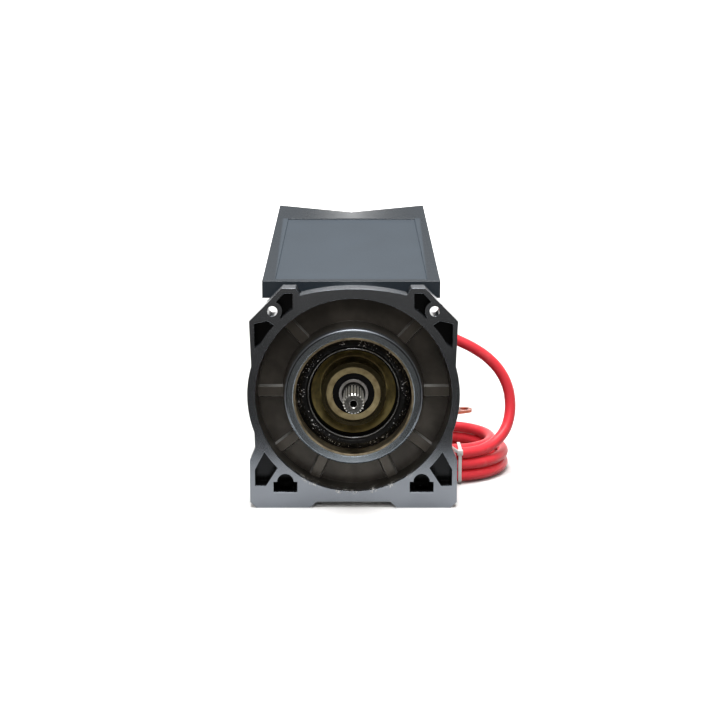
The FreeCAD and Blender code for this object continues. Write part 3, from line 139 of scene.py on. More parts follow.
class WinchSizes(bpy.types.PropertyGroup):
    """Sizes that a user may change."""

    lead_diameter: length_prop("Lead diameter", "Outside of the battery lead", 10 * MM)
    lead_length: length_prop("Lead length", "Battery lead from its gland to its lug", 1.79)
    coil_shift: length_prop("Coil shift", "Turns of the coil moved right", -2.3 * MM)
    tail_radius: length_prop("Tail radius", "Lead's end on top of the coil", 45.5 * MM)
    edge_round: length_prop("Edge rounding", "How round the edges of castings look", 0.5 * MM)
    grease_lump: length_prop("Grease lumps", "Height of the lumps in the grease", 0.9 * MM)
    lip_thick: length_prop("Seal lip", "Thickness of the grease seal's lip", 0.65 * MM)
    lip_inset: length_prop("Seal lip inset", "Seal's outside to the middle of its lip", 10.2 * MM)
    tie_round: length_prop("Tie rounding", "Corners of the cable tie's loop", 5.0 * MM)
    tie_thick: length_prop("Tie thickness", "Thickness of the cable tie", 1.1 * MM)
    tie_width: length_prop("Tie width", "Width of the cable tie", 3.0 * MM)
    camera_distance: length_prop("Camera distance", "Camera in front of the casting's face", 1.0)
    camera_rise: length_prop("Camera rise", "Camera above the shaft axis", 0.25)
    camera_pitch: FloatProperty(name="Camera pitch", description="Camera tipped downwards",
                                default=math.radians(7.4), subtype="ANGLE")
    camera_lens: FloatProperty(name="Camera lens", description="Focal length in millimetres",
                               default=61.6)
    camera_shift: FloatVectorProperty(name="Camera shift", description="Frame moved right and up",
                                      default=(0.009, -0.149), size=2)
    turn_points: IntProperty(name="Points per turn", description="Coil points in one turn",
                             default=18, min=12)


class WinchColours(bpy.types.PropertyGroup):
    """Colours that a user may change."""

    casting_face: colour_prop("Casting", "Painted face of the drum support", (0.175, 0.19, 0.212))
    casting_hub: colour_prop("Hub", "Hub of the drum support", (0.3, 0.345, 0.385))
    # Dish colour: brown oily tone, darkened as painted shade of the recess.
    dish_oil_and_shade: colour_prop("Dish", "Inside of the drum support", (0.064, 0.058, 0.05))
    bare_metal: colour_prop("Bare metal", "Where the paint has gone", (0.62, 0.62, 0.6))
    box_plastic: colour_prop("Control box", "Cover of the control box", (0.046, 0.063, 0.082))
    bronze: colour_prop("Bronze", "Drum bush", (0.4, 0.33, 0.22))
    olive: colour_prop("Olive", "Passivated end bell", (0.52, 0.42, 0.17))
    race: colour_prop("Race", "Greased bearing steel", (0.5, 0.42, 0.235))
    steel: colour_prop("Steel", "Machined shaft", (0.76, 0.76, 0.73))
    zinc: colour_prop("Zinc", "Plated fasteners", (0.6, 0.61, 0.62))
    black_paint: colour_prop("Black paint", "Motor barrel", (0.018, 0.018, 0.02))
    copper: colour_prop("Copper", "Windings and bars", (0.75, 0.33, 0.2))
    lug: colour_prop("Lug", "Copper of the lead's lug", (0.46, 0.14, 0.09))
    lead_red: colour_prop("Lead red", "Sheath of the battery lead", (0.89, 0.044, 0.062))
    nylon: colour_prop("Nylon", "Cable tie", (0.94, 0.91, 0.9))


def sizes():
    """Sizes that are set in this scene."""
    return bpy.context.scene.winch_sizes


def colours():
    """Colours that are set in this scene."""
    return bpy.context.scene.winch_colours


def rgba(colour, factor=1.0):
    """A colour times a factor, with an alpha of 1."""
    return (*(min(1.0, channel * factor) for channel in colour), 1.0)


class Wire:
    """A shader socket that takes part in sums and products."""

    def __init__(self, board, socket):
        self.board = board
        self.socket = socket

    def maths(self, operation, first, second):
        """Wire from a Math node."""
        return self.board.node("Math", {"operation": operation}, {0: first, 1: second})

    def __add__(self, other):
        return self.maths("ADD", self, other)

    def __sub__(self, other):
        return self.maths("SUBTRACT", self, other)

    def __rsub__(self, other):
        return self.maths("SUBTRACT", other, self)

    def __mul__(self, other):
        return self.maths("MULTIPLY", self, other)

    def __pow__(self, other):
        return self.maths("POWER", self, other)

    __radd__ = __add__
    __rmul__ = __mul__


class Board:
    """A node tree with one method that adds any node."""

    def __init__(self, tree):
        self.tree = tree
        tree.nodes.clear()

    def node(self, kind, settings=None, sockets=None, out=0):
        """Add a node, set its sockets and give a wire from one of its outputs."""
        made = self.tree.nodes.new("ShaderNode" + kind)
        for key, value in (settings or {}).items():
            setattr(made, key, value)
        for key, value in (sockets or {}).items():
            if isinstance(value, Wire):
                self.tree.links.new(value.socket, made.inputs[key])
            else:
                made.inputs[key].default_value = value
        return Wire(self, made.outputs[out]) if made.outputs else None

    def parts(self, vector):
        """The X, Y and Z of a vector."""
        first = self.node("SeparateXYZ", None, {0: vector})
        return [Wire(self, socket) for socket in first.socket.node.outputs]

    def between(self, value, low, high):
        """0 below low, 1 above high, smooth between them."""
        settings = {"interpolation_type": "SMOOTHSTEP"}
        return self.node("MapRange", settings, {0: value, 1: low, 2: high})

    def above(self, value, limit, soft):
        """1 where the value is past the limit, reached over a soft width."""
        return self.between(value, limit, limit + soft)

    def below(self, value, limit, soft):
        """1 where the value is short of the limit, reached over a soft width."""
        return self.between(limit - value, 0.0, soft)

    def mix(self, mask, first, second):
        """First colour where the mask is 0, second where it is 1."""
        return self.node("Mix", {"data_type": "RGBA"}, {0: mask, 6: first, 7: second}, out=2)

    def vary(self, mask, colour, low, high):
        """A colour times low where the mask is 0, times high where it is 1."""
        return self.mix(mask, rgba(colour, low), rgba(colour, high))


class Finish(Board):
    """A material for one finish, with the patterns that the finishes share."""

    def __init__(self, name):
        self.material = bpy.data.materials.new(name)
        self.material.use_nodes = True
        super().__init__(self.material.node_tree)
        self.where = self.node("TexCoord", out=3)
        self.x, self.y, self.z = self.parts(self.where)
        self.up = self.z - AXIS_Z
        self.radius = (self.x * self.x + self.up * self.up) ** 0.5

    def grain(self, size, detail=3.0, where=None):
        """Noise with features of about that size, in metres."""
        sockets = {"Vector": where or self.where, "Scale": 1 / size, "Detail": detail}
        return self.node("TexNoise", None, sockets)

    def rings(self, size):
        """Fine lines round the shaft axis, as turning leaves them."""
        where = self.node("CombineXYZ", None, {0: self.radius, 1: self.y})
        return self.grain(size, 4.0, where)

    def streaks(self, size, stretch):
        """Noise drawn out along one axis."""
        settings = {"operation": "MULTIPLY"}
        where = self.node("VectorMath", settings, {0: self.where, 1: stretch})
        return self.grain(size, 3.0, where)

    def facing(self):
        """How far a face looks away from the shaft axis, and along it to the back."""
        x, y, z = self.parts(self.node("NewGeometry", out=1))
        return (x * self.x + z * self.up) * self.radius ** -1.0, y

    def rounded(self, radius):
        """Normal with the edges rounded off."""
        return self.node("Bevel", {"samples": 6}, {"Radius": radius})

    def edges(self, rounded, low=0.02, high=0.25):
        """1 along edges, 0 on flat and gently curved faces."""
        normal = self.node("NewGeometry", out=1)
        settings = {"operation": "DOT_PRODUCT"}
        dot = self.node("VectorMath", settings, {0: rounded, 1: normal}, out=1)
        return self.between(1 - dot, low, high)

    def surface(self, colour, roughness, metallic=0.0, height=None, relief=0.0, normal=None,
                fixed=None):
        """Finish the material; relief is the bump's depth in metres."""
        sockets = {"Base Color": colour, "Roughness": roughness, "Metallic": metallic}
        sockets.update(fixed or {})
        if height is not None:
            bump = {"Height": height, "Distance": relief, "Strength": 1.0}
            if normal is not None:
                bump["Normal"] = normal
            normal = self.node("Bump", None, bump)
        if normal is not None:
            sockets["Normal"] = normal
        shader = self.node("BsdfPrincipled", None, sockets)
        self.node("OutputMaterial", None, {"Surface": shader})
        return self.material


def casting_paint():
    """Dark grey metallic paint, worn at edges: brown oil with painted shade in the dish, painted shade
    in pockets, on outer sides and on the upper hub bevel, painted highlights on the ribs.
    """
    tone = colours()
    made = Finish("casting_paint")
    rounded = made.rounded(sizes().edge_round)
    depth = made.y - FACE_Y
    outward, backward = made.facing()
    cloud = made.grain(28 * MM, 4.0)
    speck = made.grain(1.1 * MM, 2.0)

    # Where the features of the casting are.
    # Dish: brown oil stain and painted shade of the recess, darker than the face.
    dish = made.between(depth, 0.5 * MM, 4 * MM) * made.below(made.radius, DISH_RADIUS, MM)
    dish = dish * made.below(backward, 0.03, 0.03)
    # Painted shade: pockets made near black.
    pocket_shade = made.between(depth, MM, 9 * MM) * made.above(made.radius, POCKET_RADIUS, MM)
    pocket_shade = pocket_shade * made.below(outward, 0.5, 0.1)
    hub = made.below(made.radius, HUB_RADIUS, MM) * made.below(depth, MM, MM)
    # Painted shade: on the upper half of the hub's bevel the hub's lighter tone is taken off and the
    # inner part darkened, to dim its highlight.
    bevel = hub * made.above(made.radius, BEVEL_RADIUS, 0.5 * MM)
    bevel = bevel * made.between(made.up, -30 * MM, 0.0)
    painted_bevel_shade = bevel * made.below(made.radius, BEVEL_MIDDLE, 0.4 * MM)
    # Painted shade: outer side faces darkened and made less metallic, to dim their reflections.
    side_shade = made.between(outward, 0.3, 0.6) * made.between(depth, 0.8 * MM, 2 * MM)
    side_shade = side_shade * made.above(made.radius, SIDE_RADIUS, MM)
    # Painted highlights: rib tops lighter and rib flanks pale and less metallic, as lit faces.
    raised = dish * made.above(depth, RIB_TOP, 0.7 * MM)
    level = made.below(backward, -0.8, 0.1)
    rib_top_highlight = raised * level * made.below(depth, RIB_FOOT, 0.5 * MM)
    rib_side_highlight = raised * (1 - level) * made.below(outward * outward, 0.5, 0.2)

    # Where the paint has worn, and chipped along the lower rim.
    wear = made.edges(rounded, 0.03, 0.3) * made.between(made.grain(6 * MM, 5.0), 0.42, 0.62)
    chip = made.between(made.grain(1.5 * MM, 5.0), 0.49, 0.58)
    chip = chip * made.between(made.grain(9 * MM, 2.0), 0.46, 0.62)
    chip = chip * made.above(made.radius, CHIP_INNER, MM)
    chip = chip * made.below(made.radius, CHIP_OUTER, 2 * MM)
    chip = chip * made.below(made.up, -56 * MM, 24 * MM)

    # Colours, with the wear last.
    face = made.vary(cloud, tone.casting_face, 0.8, 1.2)
    face = made.mix(hub * 0.8 - bevel * 0.8, face, rgba(tone.casting_hub))
    face = made.mix(painted_bevel_shade * 0.97, face, rgba(tone.casting_face, 0.1))
    # Dish colour: brown oil with painted shade of the recess.
    inside = made.vary(made.between(cloud, 0.35, 0.7), tone.dish_oil_and_shade, 0.7, 1.3)
    colour = made.mix(dish, face, inside)
    colour = made.mix(pocket_shade * 0.96, colour, (0.006, 0.006, 0.006, 1))
    colour = made.mix(side_shade * 0.7, colour, rgba(tone.casting_face, 0.3))
    colour = made.mix(rib_top_highlight * 0.5, colour, rgba(tone.dish_oil_and_shade, 1.9))
    # Real wear on edges; on the rib flanks a painted highlight.
    colour = made.mix(wear * 0.3 + rib_side_highlight * 0.6, colour, rgba(tone.bare_metal, 0.45))
    colour = made.mix(chip, colour, rgba(tone.bare_metal))
    roughness = 0.16 + 0.08 * cloud + 0.06 * speck + 0.14 * dish + 0.2 * bevel
    metallic = 0.97 - 0.37 * dish - 0.9 * chip - 0.5 * rib_side_highlight - 0.7 * side_shade
    return made.surface(colour, roughness, metallic, speck, 0.01 * MM, rounded)


def box_moulding():
    """Fine-grained dark blue-grey plastic, darker round the sunk panel."""
    tone = colours()
    made = Finish("box_moulding")
    low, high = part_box("box_cover")
    rounded = made.rounded(0.8 * MM)
    cloud = made.grain(35 * MM, 3.0)
    skin = made.grain(0.45 * MM, 2.0)
    across = made.above(made.x, low.x + PANEL_SIDE, 2 * MM)
    across = across * made.below(made.x, high.x - PANEL_SIDE, 2 * MM)
    along = made.above(made.y, low.y + PANEL_FRONT, 3 * MM)
    along = along * made.below(made.y, high.y - PANEL_REAR, 2 * MM)
    panel = across * along
    colour = made.vary(cloud, tone.box_plastic, 0.88, 1.12)
    colour = made.mix(panel, rgba(tone.box_plastic, 0.55), colour)
    # Painted highlight: edges lighter.
    colour = made.mix(made.edges(rounded) * 0.35, colour, rgba(tone.box_plastic, 2.2))
    roughness = 0.2 + 0.12 * panel + 0.08 * cloud + 0.1 * skin
    return made.surface(colour, roughness, 0.0, skin, 0.02 * MM, rounded)


def turned_metal(name, colour, roughness, stain=None, rim=None):
    """Metal with fine rings round the shaft axis, painted highlights along its edges and, where given,
    a stain with painted shade past a rim.
    """
    made = Finish(name)
    rounded = made.rounded(0.4 * MM)
    line = made.rings(0.35 * MM)
    shade = made.vary(line, colour, 0.8, 1.15)
    if stain is not None:
        smear = made.between(made.grain(7 * MM, 5.0), 0.3, 0.8)
        shade = made.mix(smear * 0.7, shade, rgba(stain))
    # Painted highlight: edges lighter.
    shade = made.mix(made.edges(rounded) * 0.4, shade, rgba(colour, 1.7))
    if rim is not None:
        # Painted shade past the rim.
        dark = made.above(made.radius, rim, 0.6 * MM)
        shade = made.mix(dark * 0.85, shade, rgba(stain, 0.1))
    return made.surface(shade, roughness + 0.15 * line, 0.92, line, 0.02 * MM, rounded)


def splined_steel():
    """Worn steel: bright tooth tips, painted shade in the grooves and on the end face, greasy towards
    the bearing.
    """
    tone = colours()
    made = Finish("shaft_steel")
    rounded = made.rounded(0.25 * MM)
    depth = made.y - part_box("armature_shaft")[0].y
    line = made.streaks(0.5 * MM, (1.0, 0.06, 1.0))
    # Painted shade: grooves between the teeth darkened.
    groove_shade = made.below(made.radius, TOOTH_TIP, 0.5 * MM) * made.between(depth, 0.3 * MM, MM)
    end = made.below(depth, 0.4 * MM, 0.2 * MM)
    greasy = made.above(depth, SPLINE_CLEAN, 6 * MM)
    # Painted shade: the end face darker, with a mottle.
    end_mottle = made.between(made.grain(1.2 * MM, 3.0), 0.35, 0.65)
    face = made.mix(end_mottle, (0.045, 0.046, 0.044, 1), (0.17, 0.175, 0.17, 1))
    colour = made.vary(line, tone.steel, 0.7, 1.2)
    colour = made.mix(groove_shade * 0.85, colour, (0.05, 0.048, 0.045, 1))
    colour = made.mix(end * 0.85, colour, face)
    colour = made.mix(greasy * 0.93, colour, GREASE_BLACK)
    return made.surface(colour, 0.26 + 0.18 * line, 0.95, line, 0.02 * MM, rounded)


def end_bell_finish():
    """Olive passivated metal, greasy, with a painted shadow round the bearing's boss."""
    tone = colours()
    made = Finish("olive_passivate")
    rounded = made.rounded(0.5 * MM)
    line = made.rings(0.6 * MM)
    smear = made.between(made.grain(11 * MM, 5.0), 0.35, 0.7)
    # Painted shadow: dark round the bearing's boss, where the bearing shades the cone.
    boss = made.below(made.radius, BOSS_RADIUS, 2.4 * MM)
    lip = made.above(made.radius, BELL_LIP, 0.6 * MM)
    colour = made.vary(line, tone.olive, 0.8, 1.3)
    colour = made.mix(smear * 0.8, colour, rgba(tone.olive, 0.4))
    colour = made.mix(boss * 0.97, colour, (0.03, 0.025, 0.014, 1))
    colour = made.mix(lip, colour, GREASE_BLACK)
    metallic = 0.4 + 0.6 * boss + 0.6 * lip
    return made.surface(colour, 0.3 + 0.2 * smear, metallic, line, 0.02 * MM, rounded)


def black_rubber(name, roughness, shine=0.1):
    """Black rubber with a faint mottle."""
    made = Finish(name)
    cloud = made.grain(9 * MM, 4.0)
    skin = made.grain(0.6 * MM, 2.0)
    colour = made.mix(cloud, (0.004, 0.004, 0.004, 1), (0.012, 0.012, 0.012, 1))
    return made.surface(colour, roughness * (0.7 + 0.6 * cloud), 0.0, skin, 0.02 * MM,
                        made.rounded(0.4 * MM), {"Specular IOR Level": shine})


def grease_finish():
    """Wet black grease with painted glints: small bright specks in its colour."""
    made = Finish("black_grease")
    smear = made.grain(2.6 * MM, 4.0)
    patch = made.between(made.grain(8 * MM, 3.0), 0.5, 0.6)
    # Painted highlights: sparse bright specks.
    painted_glint = made.between(made.grain(1.3 * MM, 2.0), 0.62, 0.66) * patch
    colour = made.mix(smear, (0.003, 0.0035, 0.004, 1), (0.01, 0.01, 0.01, 1))
    colour = made.mix(painted_glint, colour, (0.9, 0.92, 0.93, 1))
    return made.surface(colour, 0.1 + 0.2 * smear, 0.3 * painted_glint, smear + painted_glint, 0.3 * MM,
                        fixed={"Specular IOR Level": 0.2})


def painted_steel(name, colour, roughness, orange_peel=0.05 * MM):
    """Black paint with dust and worn edges."""
    made = Finish(name)
    rounded = made.rounded(0.5 * MM)
    cloud = made.grain(30 * MM, 4.0)
    peel = made.grain(1.6 * MM, 2.0)
    shade = made.vary(cloud, colour, 0.8, 1.3)
    dust = made.between(made.grain(9 * MM, 6.0), 0.4, 0.9)
    shade = made.mix(dust * 0.18, shade, (0.12, 0.115, 0.105, 1))
    wear = made.edges(rounded, 0.05, 0.3) * made.between(made.grain(5 * MM, 5.0), 0.5, 0.62)
    shade = made.mix(wear * 0.6, shade, rgba(colours().bare_metal, 0.6))
    return made.surface(shade, roughness + 0.15 * cloud, 0.0, peel, orange_peel, rounded,
                        {"Specular IOR Level": 0.25})


def plated_steel():
    """Zinc plating with a faint bloom."""
    tone = colours()
    made = Finish("zinc_plate")
    cloud = made.between(made.grain(4 * MM, 4.0), 0.3, 0.7)
    colour = made.vary(cloud, tone.zinc, 0.75, 1.1)
    return made.surface(colour, 0.28 + 0.2 * cloud, 1.0, normal=made.rounded(0.3 * MM))


def wound_copper(name, wire):
    """Enamelled copper in turns, with lines a wire apart."""
    made = Finish(name)
    line = made.streaks(wire, (1.0, 0.05, 1.0))
    colour = made.vary(made.between(line, 0.35, 0.65), colours().copper, 0.35, 1.0)
    return made.surface(colour, 0.3 + 0.2 * line, 0.85, line, 0.25 * MM)


def bare_copper(name, colour):
    """Copper with a brown bloom."""
    made = Finish(name)
    rounded = made.rounded(0.4 * MM)
    bloom = made.between(made.grain(5 * MM, 5.0), 0.35, 0.7)
    shade = made.vary(bloom * 0.6, colour, 1.0, 0.45)
    return made.surface(shade, 0.25 + 0.25 * bloom, 1.0, bloom, 0.03 * MM, rounded)


def stacked_sheets():
    """Iron in thin sheets along the shaft."""
    made = Finish("stacked_sheets")
    line = made.streaks(0.5 * MM, (0.02, 1.0, 0.02))
    colour = made.mix(made.between(line, 0.4, 0.6), (0.06, 0.06, 0.065, 1), (0.3, 0.3, 0.31, 1))
    return made.surface(colour, 0.4 + 0.2 * line, 0.9, line, 0.15 * MM)


def moulded(name, colour, roughness):
    """Plain moulding with a slight mottle."""
    made = Finish(name)
    cloud = made.grain(6 * MM, 5.0)
    shade = made.vary(cloud, colour, 0.75, 1.25)
    return made.surface(shade, roughness + 0.2 * cloud, 0.0, cloud, 0.04 * MM,
                        made.rounded(0.4 * MM))


def lead_sheath():
    """Soft red sheath, slightly dusty."""
    made = Finish("red_sheath")
    cloud = made.grain(24 * MM, 4.0)
    skin = made.grain(1.2 * MM, 3.0)
    dust = made.between(made.grain(9 * MM, 6.0), 0.55, 0.8)
    colour = made.vary(cloud, colours().lead_red, 0.88, 1.08)
    colour = made.mix(dust * 0.16, colour, (0.8, 0.35, 0.34, 1))
    soft = {"Sheen Weight": 0.08, "Sheen Roughness": 0.4, "Specular IOR Level": 0.35}
    return made.surface(colour, 0.34 + 0.16 * cloud, 0.0, skin, 0.03 * MM, fixed=soft)


def nylon_finish():
    """Pale nylon with a faint mottle."""
    made = Finish("natural_nylon")
    cloud = made.grain(5 * MM, 3.0)
    colour = made.vary(cloud, colours().nylon, 0.92, 1.05)
    return made.surface(colour, 0.35 + 0.15 * cloud, 0.0, cloud, 0.02 * MM)


def dress(material, *names):
    """Give CAD nodes a finish."""
    for name in names:
        slots = NODES[name].data.materials
        slots.clear()
        slots.append(material)


def mesh_from(name, build):
    """A mesh that a function fills through bmesh."""
    work = bmesh.new()
    build(work)
    bmesh.ops.recalc_face_normals(work, faces=work.faces)
    mesh = bpy.data.meshes.new(name)
    work.to_mesh(mesh)
    work.free()
    for face in mesh.polygons:
        face.use_smooth = True
    return mesh


def new_piece(name, build, material):
    """A piece of the object that a function fills, on the body that stands still."""
    made = bpy.data.objects.new(name, mesh_from(name, build))
    bpy.context.scene.collection.objects.link(made)
    made.data.materials.append(material)
    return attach(made, "winch")


def swept_ring(work, profile, count, place):
    """Closed profile turned round the shaft axis; place gives the radius and depth of a spot."""
    loops = []
    for i in range(count):
        turn = math.tau * i / count
        loop = []
        for spot in profile:
            radius, depth = place(turn, spot)
            corner = (radius * math.cos(turn), FACE_Y + depth, AXIS_Z + radius * math.sin(turn))
            loop.append(work.verts.new(corner))
        loops.append(loop)
    for i in range(count):
        here, there = loops[i], loops[(i + 1) % count]
        for j in range(len(profile)):
            k = (j + 1) % len(profile)
            work.faces.new((here[j], here[k], there[k], there[j]))


def ease(value, low, high):
    """0 below low, 1 above high, smooth between them."""
    part = min(1.0, max(0.0, (value - low) / (high - low)))
    return part * part * (3 - 2 * part)


class StepOperator:
    """What the operators share."""

    bl_options = {"REGISTER", "UNDO"}


class WINCH_OT_stage(StepOperator, bpy.types.Operator):
    """Pale floor, soft light and the camera at the photograph's angle"""

    bl_idname = "winch.stage"
    bl_label = "Stage"

    def execute(self, context):
        self.floor()
        self.backdrop()
        self.sky(context.scene)
        self.softbox("top_light", (0.0, 0.05, 2.4), (0.0, 0.05, 0.0), size=1.1, power=54.0)
        self.softbox("rear_softbox", (0.0, 1.25, 1.8), (0.0, 0.1, 0.2), size=0.9, power=1.4)
        self.softbox("front_softbox", (0.0, -1.6, 1.25), (0.0, 0.0, 0.1), size=0.5, power=8.0)
        self.pool("key_light", (0.0, -0.9, 2.2), (0.0, 0.0, 0.0), power=100.0)
        self.camera(context.scene)
        return {"FINISHED"}

    def floor(self):
        """Two sheets that look alike, of which only the rear one is seen in reflections."""
        paper = Finish("floor_paper")
        shade = paper.mix(paper.grain(0.4, 2.0), (0.9, 0.9, 0.9, 1), (0.93, 0.93, 0.93, 1))
        paper.surface(shade, 0.7)
        ends = {"floor": (MIRROR_Y, WALL_Y), "front_floor": (-STAGE_REACH, MIRROR_Y)}
        for name, (near, far) in ends.items():
            sheet = self.sheet(name, paper.material, [
                (-STAGE_REACH, near, 0.0), (STAGE_REACH, near, 0.0),
                (STAGE_REACH, far, 0.0), (-STAGE_REACH, far, 0.0)])
            sheet.visible_diffuse = False
            sheet.visible_glossy = name == "floor"

    def backdrop(self):
        """Glowing wall behind the part."""
        glow = Finish("backdrop_glow")
        glow.surface((0.9, 0.9, 0.9, 1), 0.8,
                     fixed={"Emission Color": (1, 1, 1, 1), "Emission Strength": 1.5})
        self.sheet("backdrop", glow.material, [
            (-STAGE_REACH, WALL_Y, 0.0), (STAGE_REACH, WALL_Y, 0.0),
            (STAGE_REACH, WALL_Y, WALL_TOP), (-STAGE_REACH, WALL_Y, WALL_TOP)])

    def sheet(self, name, material, corners):
        """A flat piece of the stage."""
        def build(work):
            work.faces.new([work.verts.new(corner) for corner in corners])

        plane = bpy.data.objects.new(name, mesh_from(name, build))
        plane.data.materials.append(material)
        bpy.context.scene.collection.objects.link(plane)
        return plane

    def sky(self, scene):
        """Dim room, darker below the horizon."""
        world = bpy.data.worlds.new("studio")
        world.use_nodes = True
        board = Board(world.node_tree)
        height = board.parts(board.node("TexCoord"))[2]
        light = board.between(height, -0.215, -0.145)
        colour = board.mix(light, (0.05, 0.047, 0.043, 1), (0.36, 0.336, 0.308, 1))
        glow = board.node("Background", None, {"Color": colour, "Strength": 1.0})
        board.node("OutputWorld", None, {"Surface": glow})
        scene.world = world

    def pool(self, name, place, target, power):
        """Soft lamp that lights a round pool of the floor."""
        light = bpy.data.lights.new(name, "SPOT")
        light.spot_size = math.radians(34)
        light.spot_blend = 1.0
        light.shadow_soft_size = 0.35
        self.hang(light, place, target, power)

    def softbox(self, name, place, target, size, power):
        """Round soft lamp."""
        light = bpy.data.lights.new(name, "AREA")
        light.shape = "DISK"
        light.size = size
        self.hang(light, place, target, power)

    def hang(self, light, place, target, power):
        """Put a lamp in its place and aim it."""
        light.energy = power
        made = bpy.data.objects.new(light.name, light)
        made.location = place
        aim = Vector(target) - Vector(place)
        made.rotation_euler = aim.to_track_quat("-Z", "Y").to_euler()
        bpy.context.scene.collection.objects.link(made)

    def camera(self, scene):
        """Camera in front of the casting, tipped downwards."""
        size = sizes()
        lens = bpy.data.cameras.new("camera")
        lens.sensor_width = 36.0
        lens.lens = size.camera_lens
        lens.shift_x = size.camera_shift[0]
        lens.shift_y = size.camera_shift[1]
        made = bpy.data.objects.new("camera", lens)
        made.location = (0.0, FACE_Y - size.camera_distance, AXIS_Z + size.camera_rise)
        made.rotation_euler = (math.pi / 2 - size.camera_pitch, 0.0, 0.0)
        scene.collection.objects.link(made)
        scene.camera = made
        scene.view_settings.view_transform = "Standard"


class WINCH_OT_battery_lead(StepOperator, bpy.types.Operator):
    """Red lead from its gland, through the tied coil, to its lug"""

    bl_idname = "winch.battery_lead"
    bl_label = "Battery lead"

    def execute(self, context):
        size = sizes()
        points = [Vector(p) for p in LEAD_ROUTE] + self.coil_points() + self.end_points()
        curve = bpy.data.curves.new("battery_lead", "CURVE")
        curve.dimensions = "3D"
        spline = curve.splines.new("NURBS")
        spline.points.add(len(points) - 1)
        for point, spot in zip(spline.points, points):
            point.co = (*spot, 1.0)
        spline.order_u = 3
        spline.use_endpoint_u = True
        spline.resolution_u = 4
        curve.bevel_depth = size.lead_diameter / 2
        curve.bevel_resolution = 6
        curve.use_fill_caps = True
        curve.materials.append(lead_sheath())
        lead = bpy.data.objects.new("battery_lead", curve)
        context.scene.collection.objects.link(lead)
        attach(lead, "winch")
        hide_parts("lead_run", "lead_coil", "lead_tail")
        dress(moulded("shrink_sleeve", (0.42, 0.03, 0.03), 0.35), "lug_sleeve")
        dress(bare_copper("lug_copper", colours().lug), "lead_lug")
        return {"FINISHED"}

    def coil_points(self):
        """Outer turns from the top down, inner turns from the floor up, then the end on top."""
        size = sizes()
        thick = size.lead_diameter
        outer = COIL_OUTER - thick / 2
        inner = outer - INNER_STEP * thick
        low = COIL_LOW.z + thick / 2
        high = COIL_HIGH.z - thick / 2
        level = (high - low) / 2
        first = Vector(LEAD_ROUTE[-1]) - COIL_MIDDLE - Vector((size.coil_shift, 0.0, 0.0))
        start = math.degrees(math.atan2(first.y, first.x))
        step = 360 / size.turn_points
        # The curve runs inside its points, so they stand out by this much.
        reach = 1 / (0.75 + 0.25 * math.cos(math.radians(step)))
        whole = COIL_TURNS * 360
        last = (start - TAIL_STOP) % 360 + whole
        points = []
        for i in range(1, int(last // step) + 1):
            turned = i * step
            drop = sum(ease(turned - 360 * k, *LEVEL_CHANGE) for k in (0, 1))
            rise = sum(ease(turned - 360 * k, *LEVEL_CHANGE) for k in (3, 4))
            inward = ease(turned, *INWARD_CHANGE)
            lift = ease(turned - whole, *TAIL_LIFT)
            radius = outer + (inner - outer) * inward + (size.tail_radius - inner) * lift
            height = high - level * drop + level * rise + (TAIL_Z - high) * lift
            turn = math.radians(start - turned)
            shift = size.coil_shift * (1 - lift)
            points.append(Vector((COIL_MIDDLE.x + shift + radius * reach * math.cos(turn),
                                  COIL_MIDDLE.y + radius * reach * math.sin(turn), height)))
        return points

    def end_points(self):
        """Straight on into the sleeve."""
        stop = math.radians(TAIL_STOP)
        radius = sizes().tail_radius
        end = Vector((COIL_MIDDLE.x + radius * math.cos(stop),
                      COIL_MIDDLE.y + radius * math.sin(stop), TAIL_Z))
        along = Vector((math.sin(stop), -math.cos(stop), 0.0))
        in_sleeve = 9 * MM
        return [end, end + along * in_sleeve]


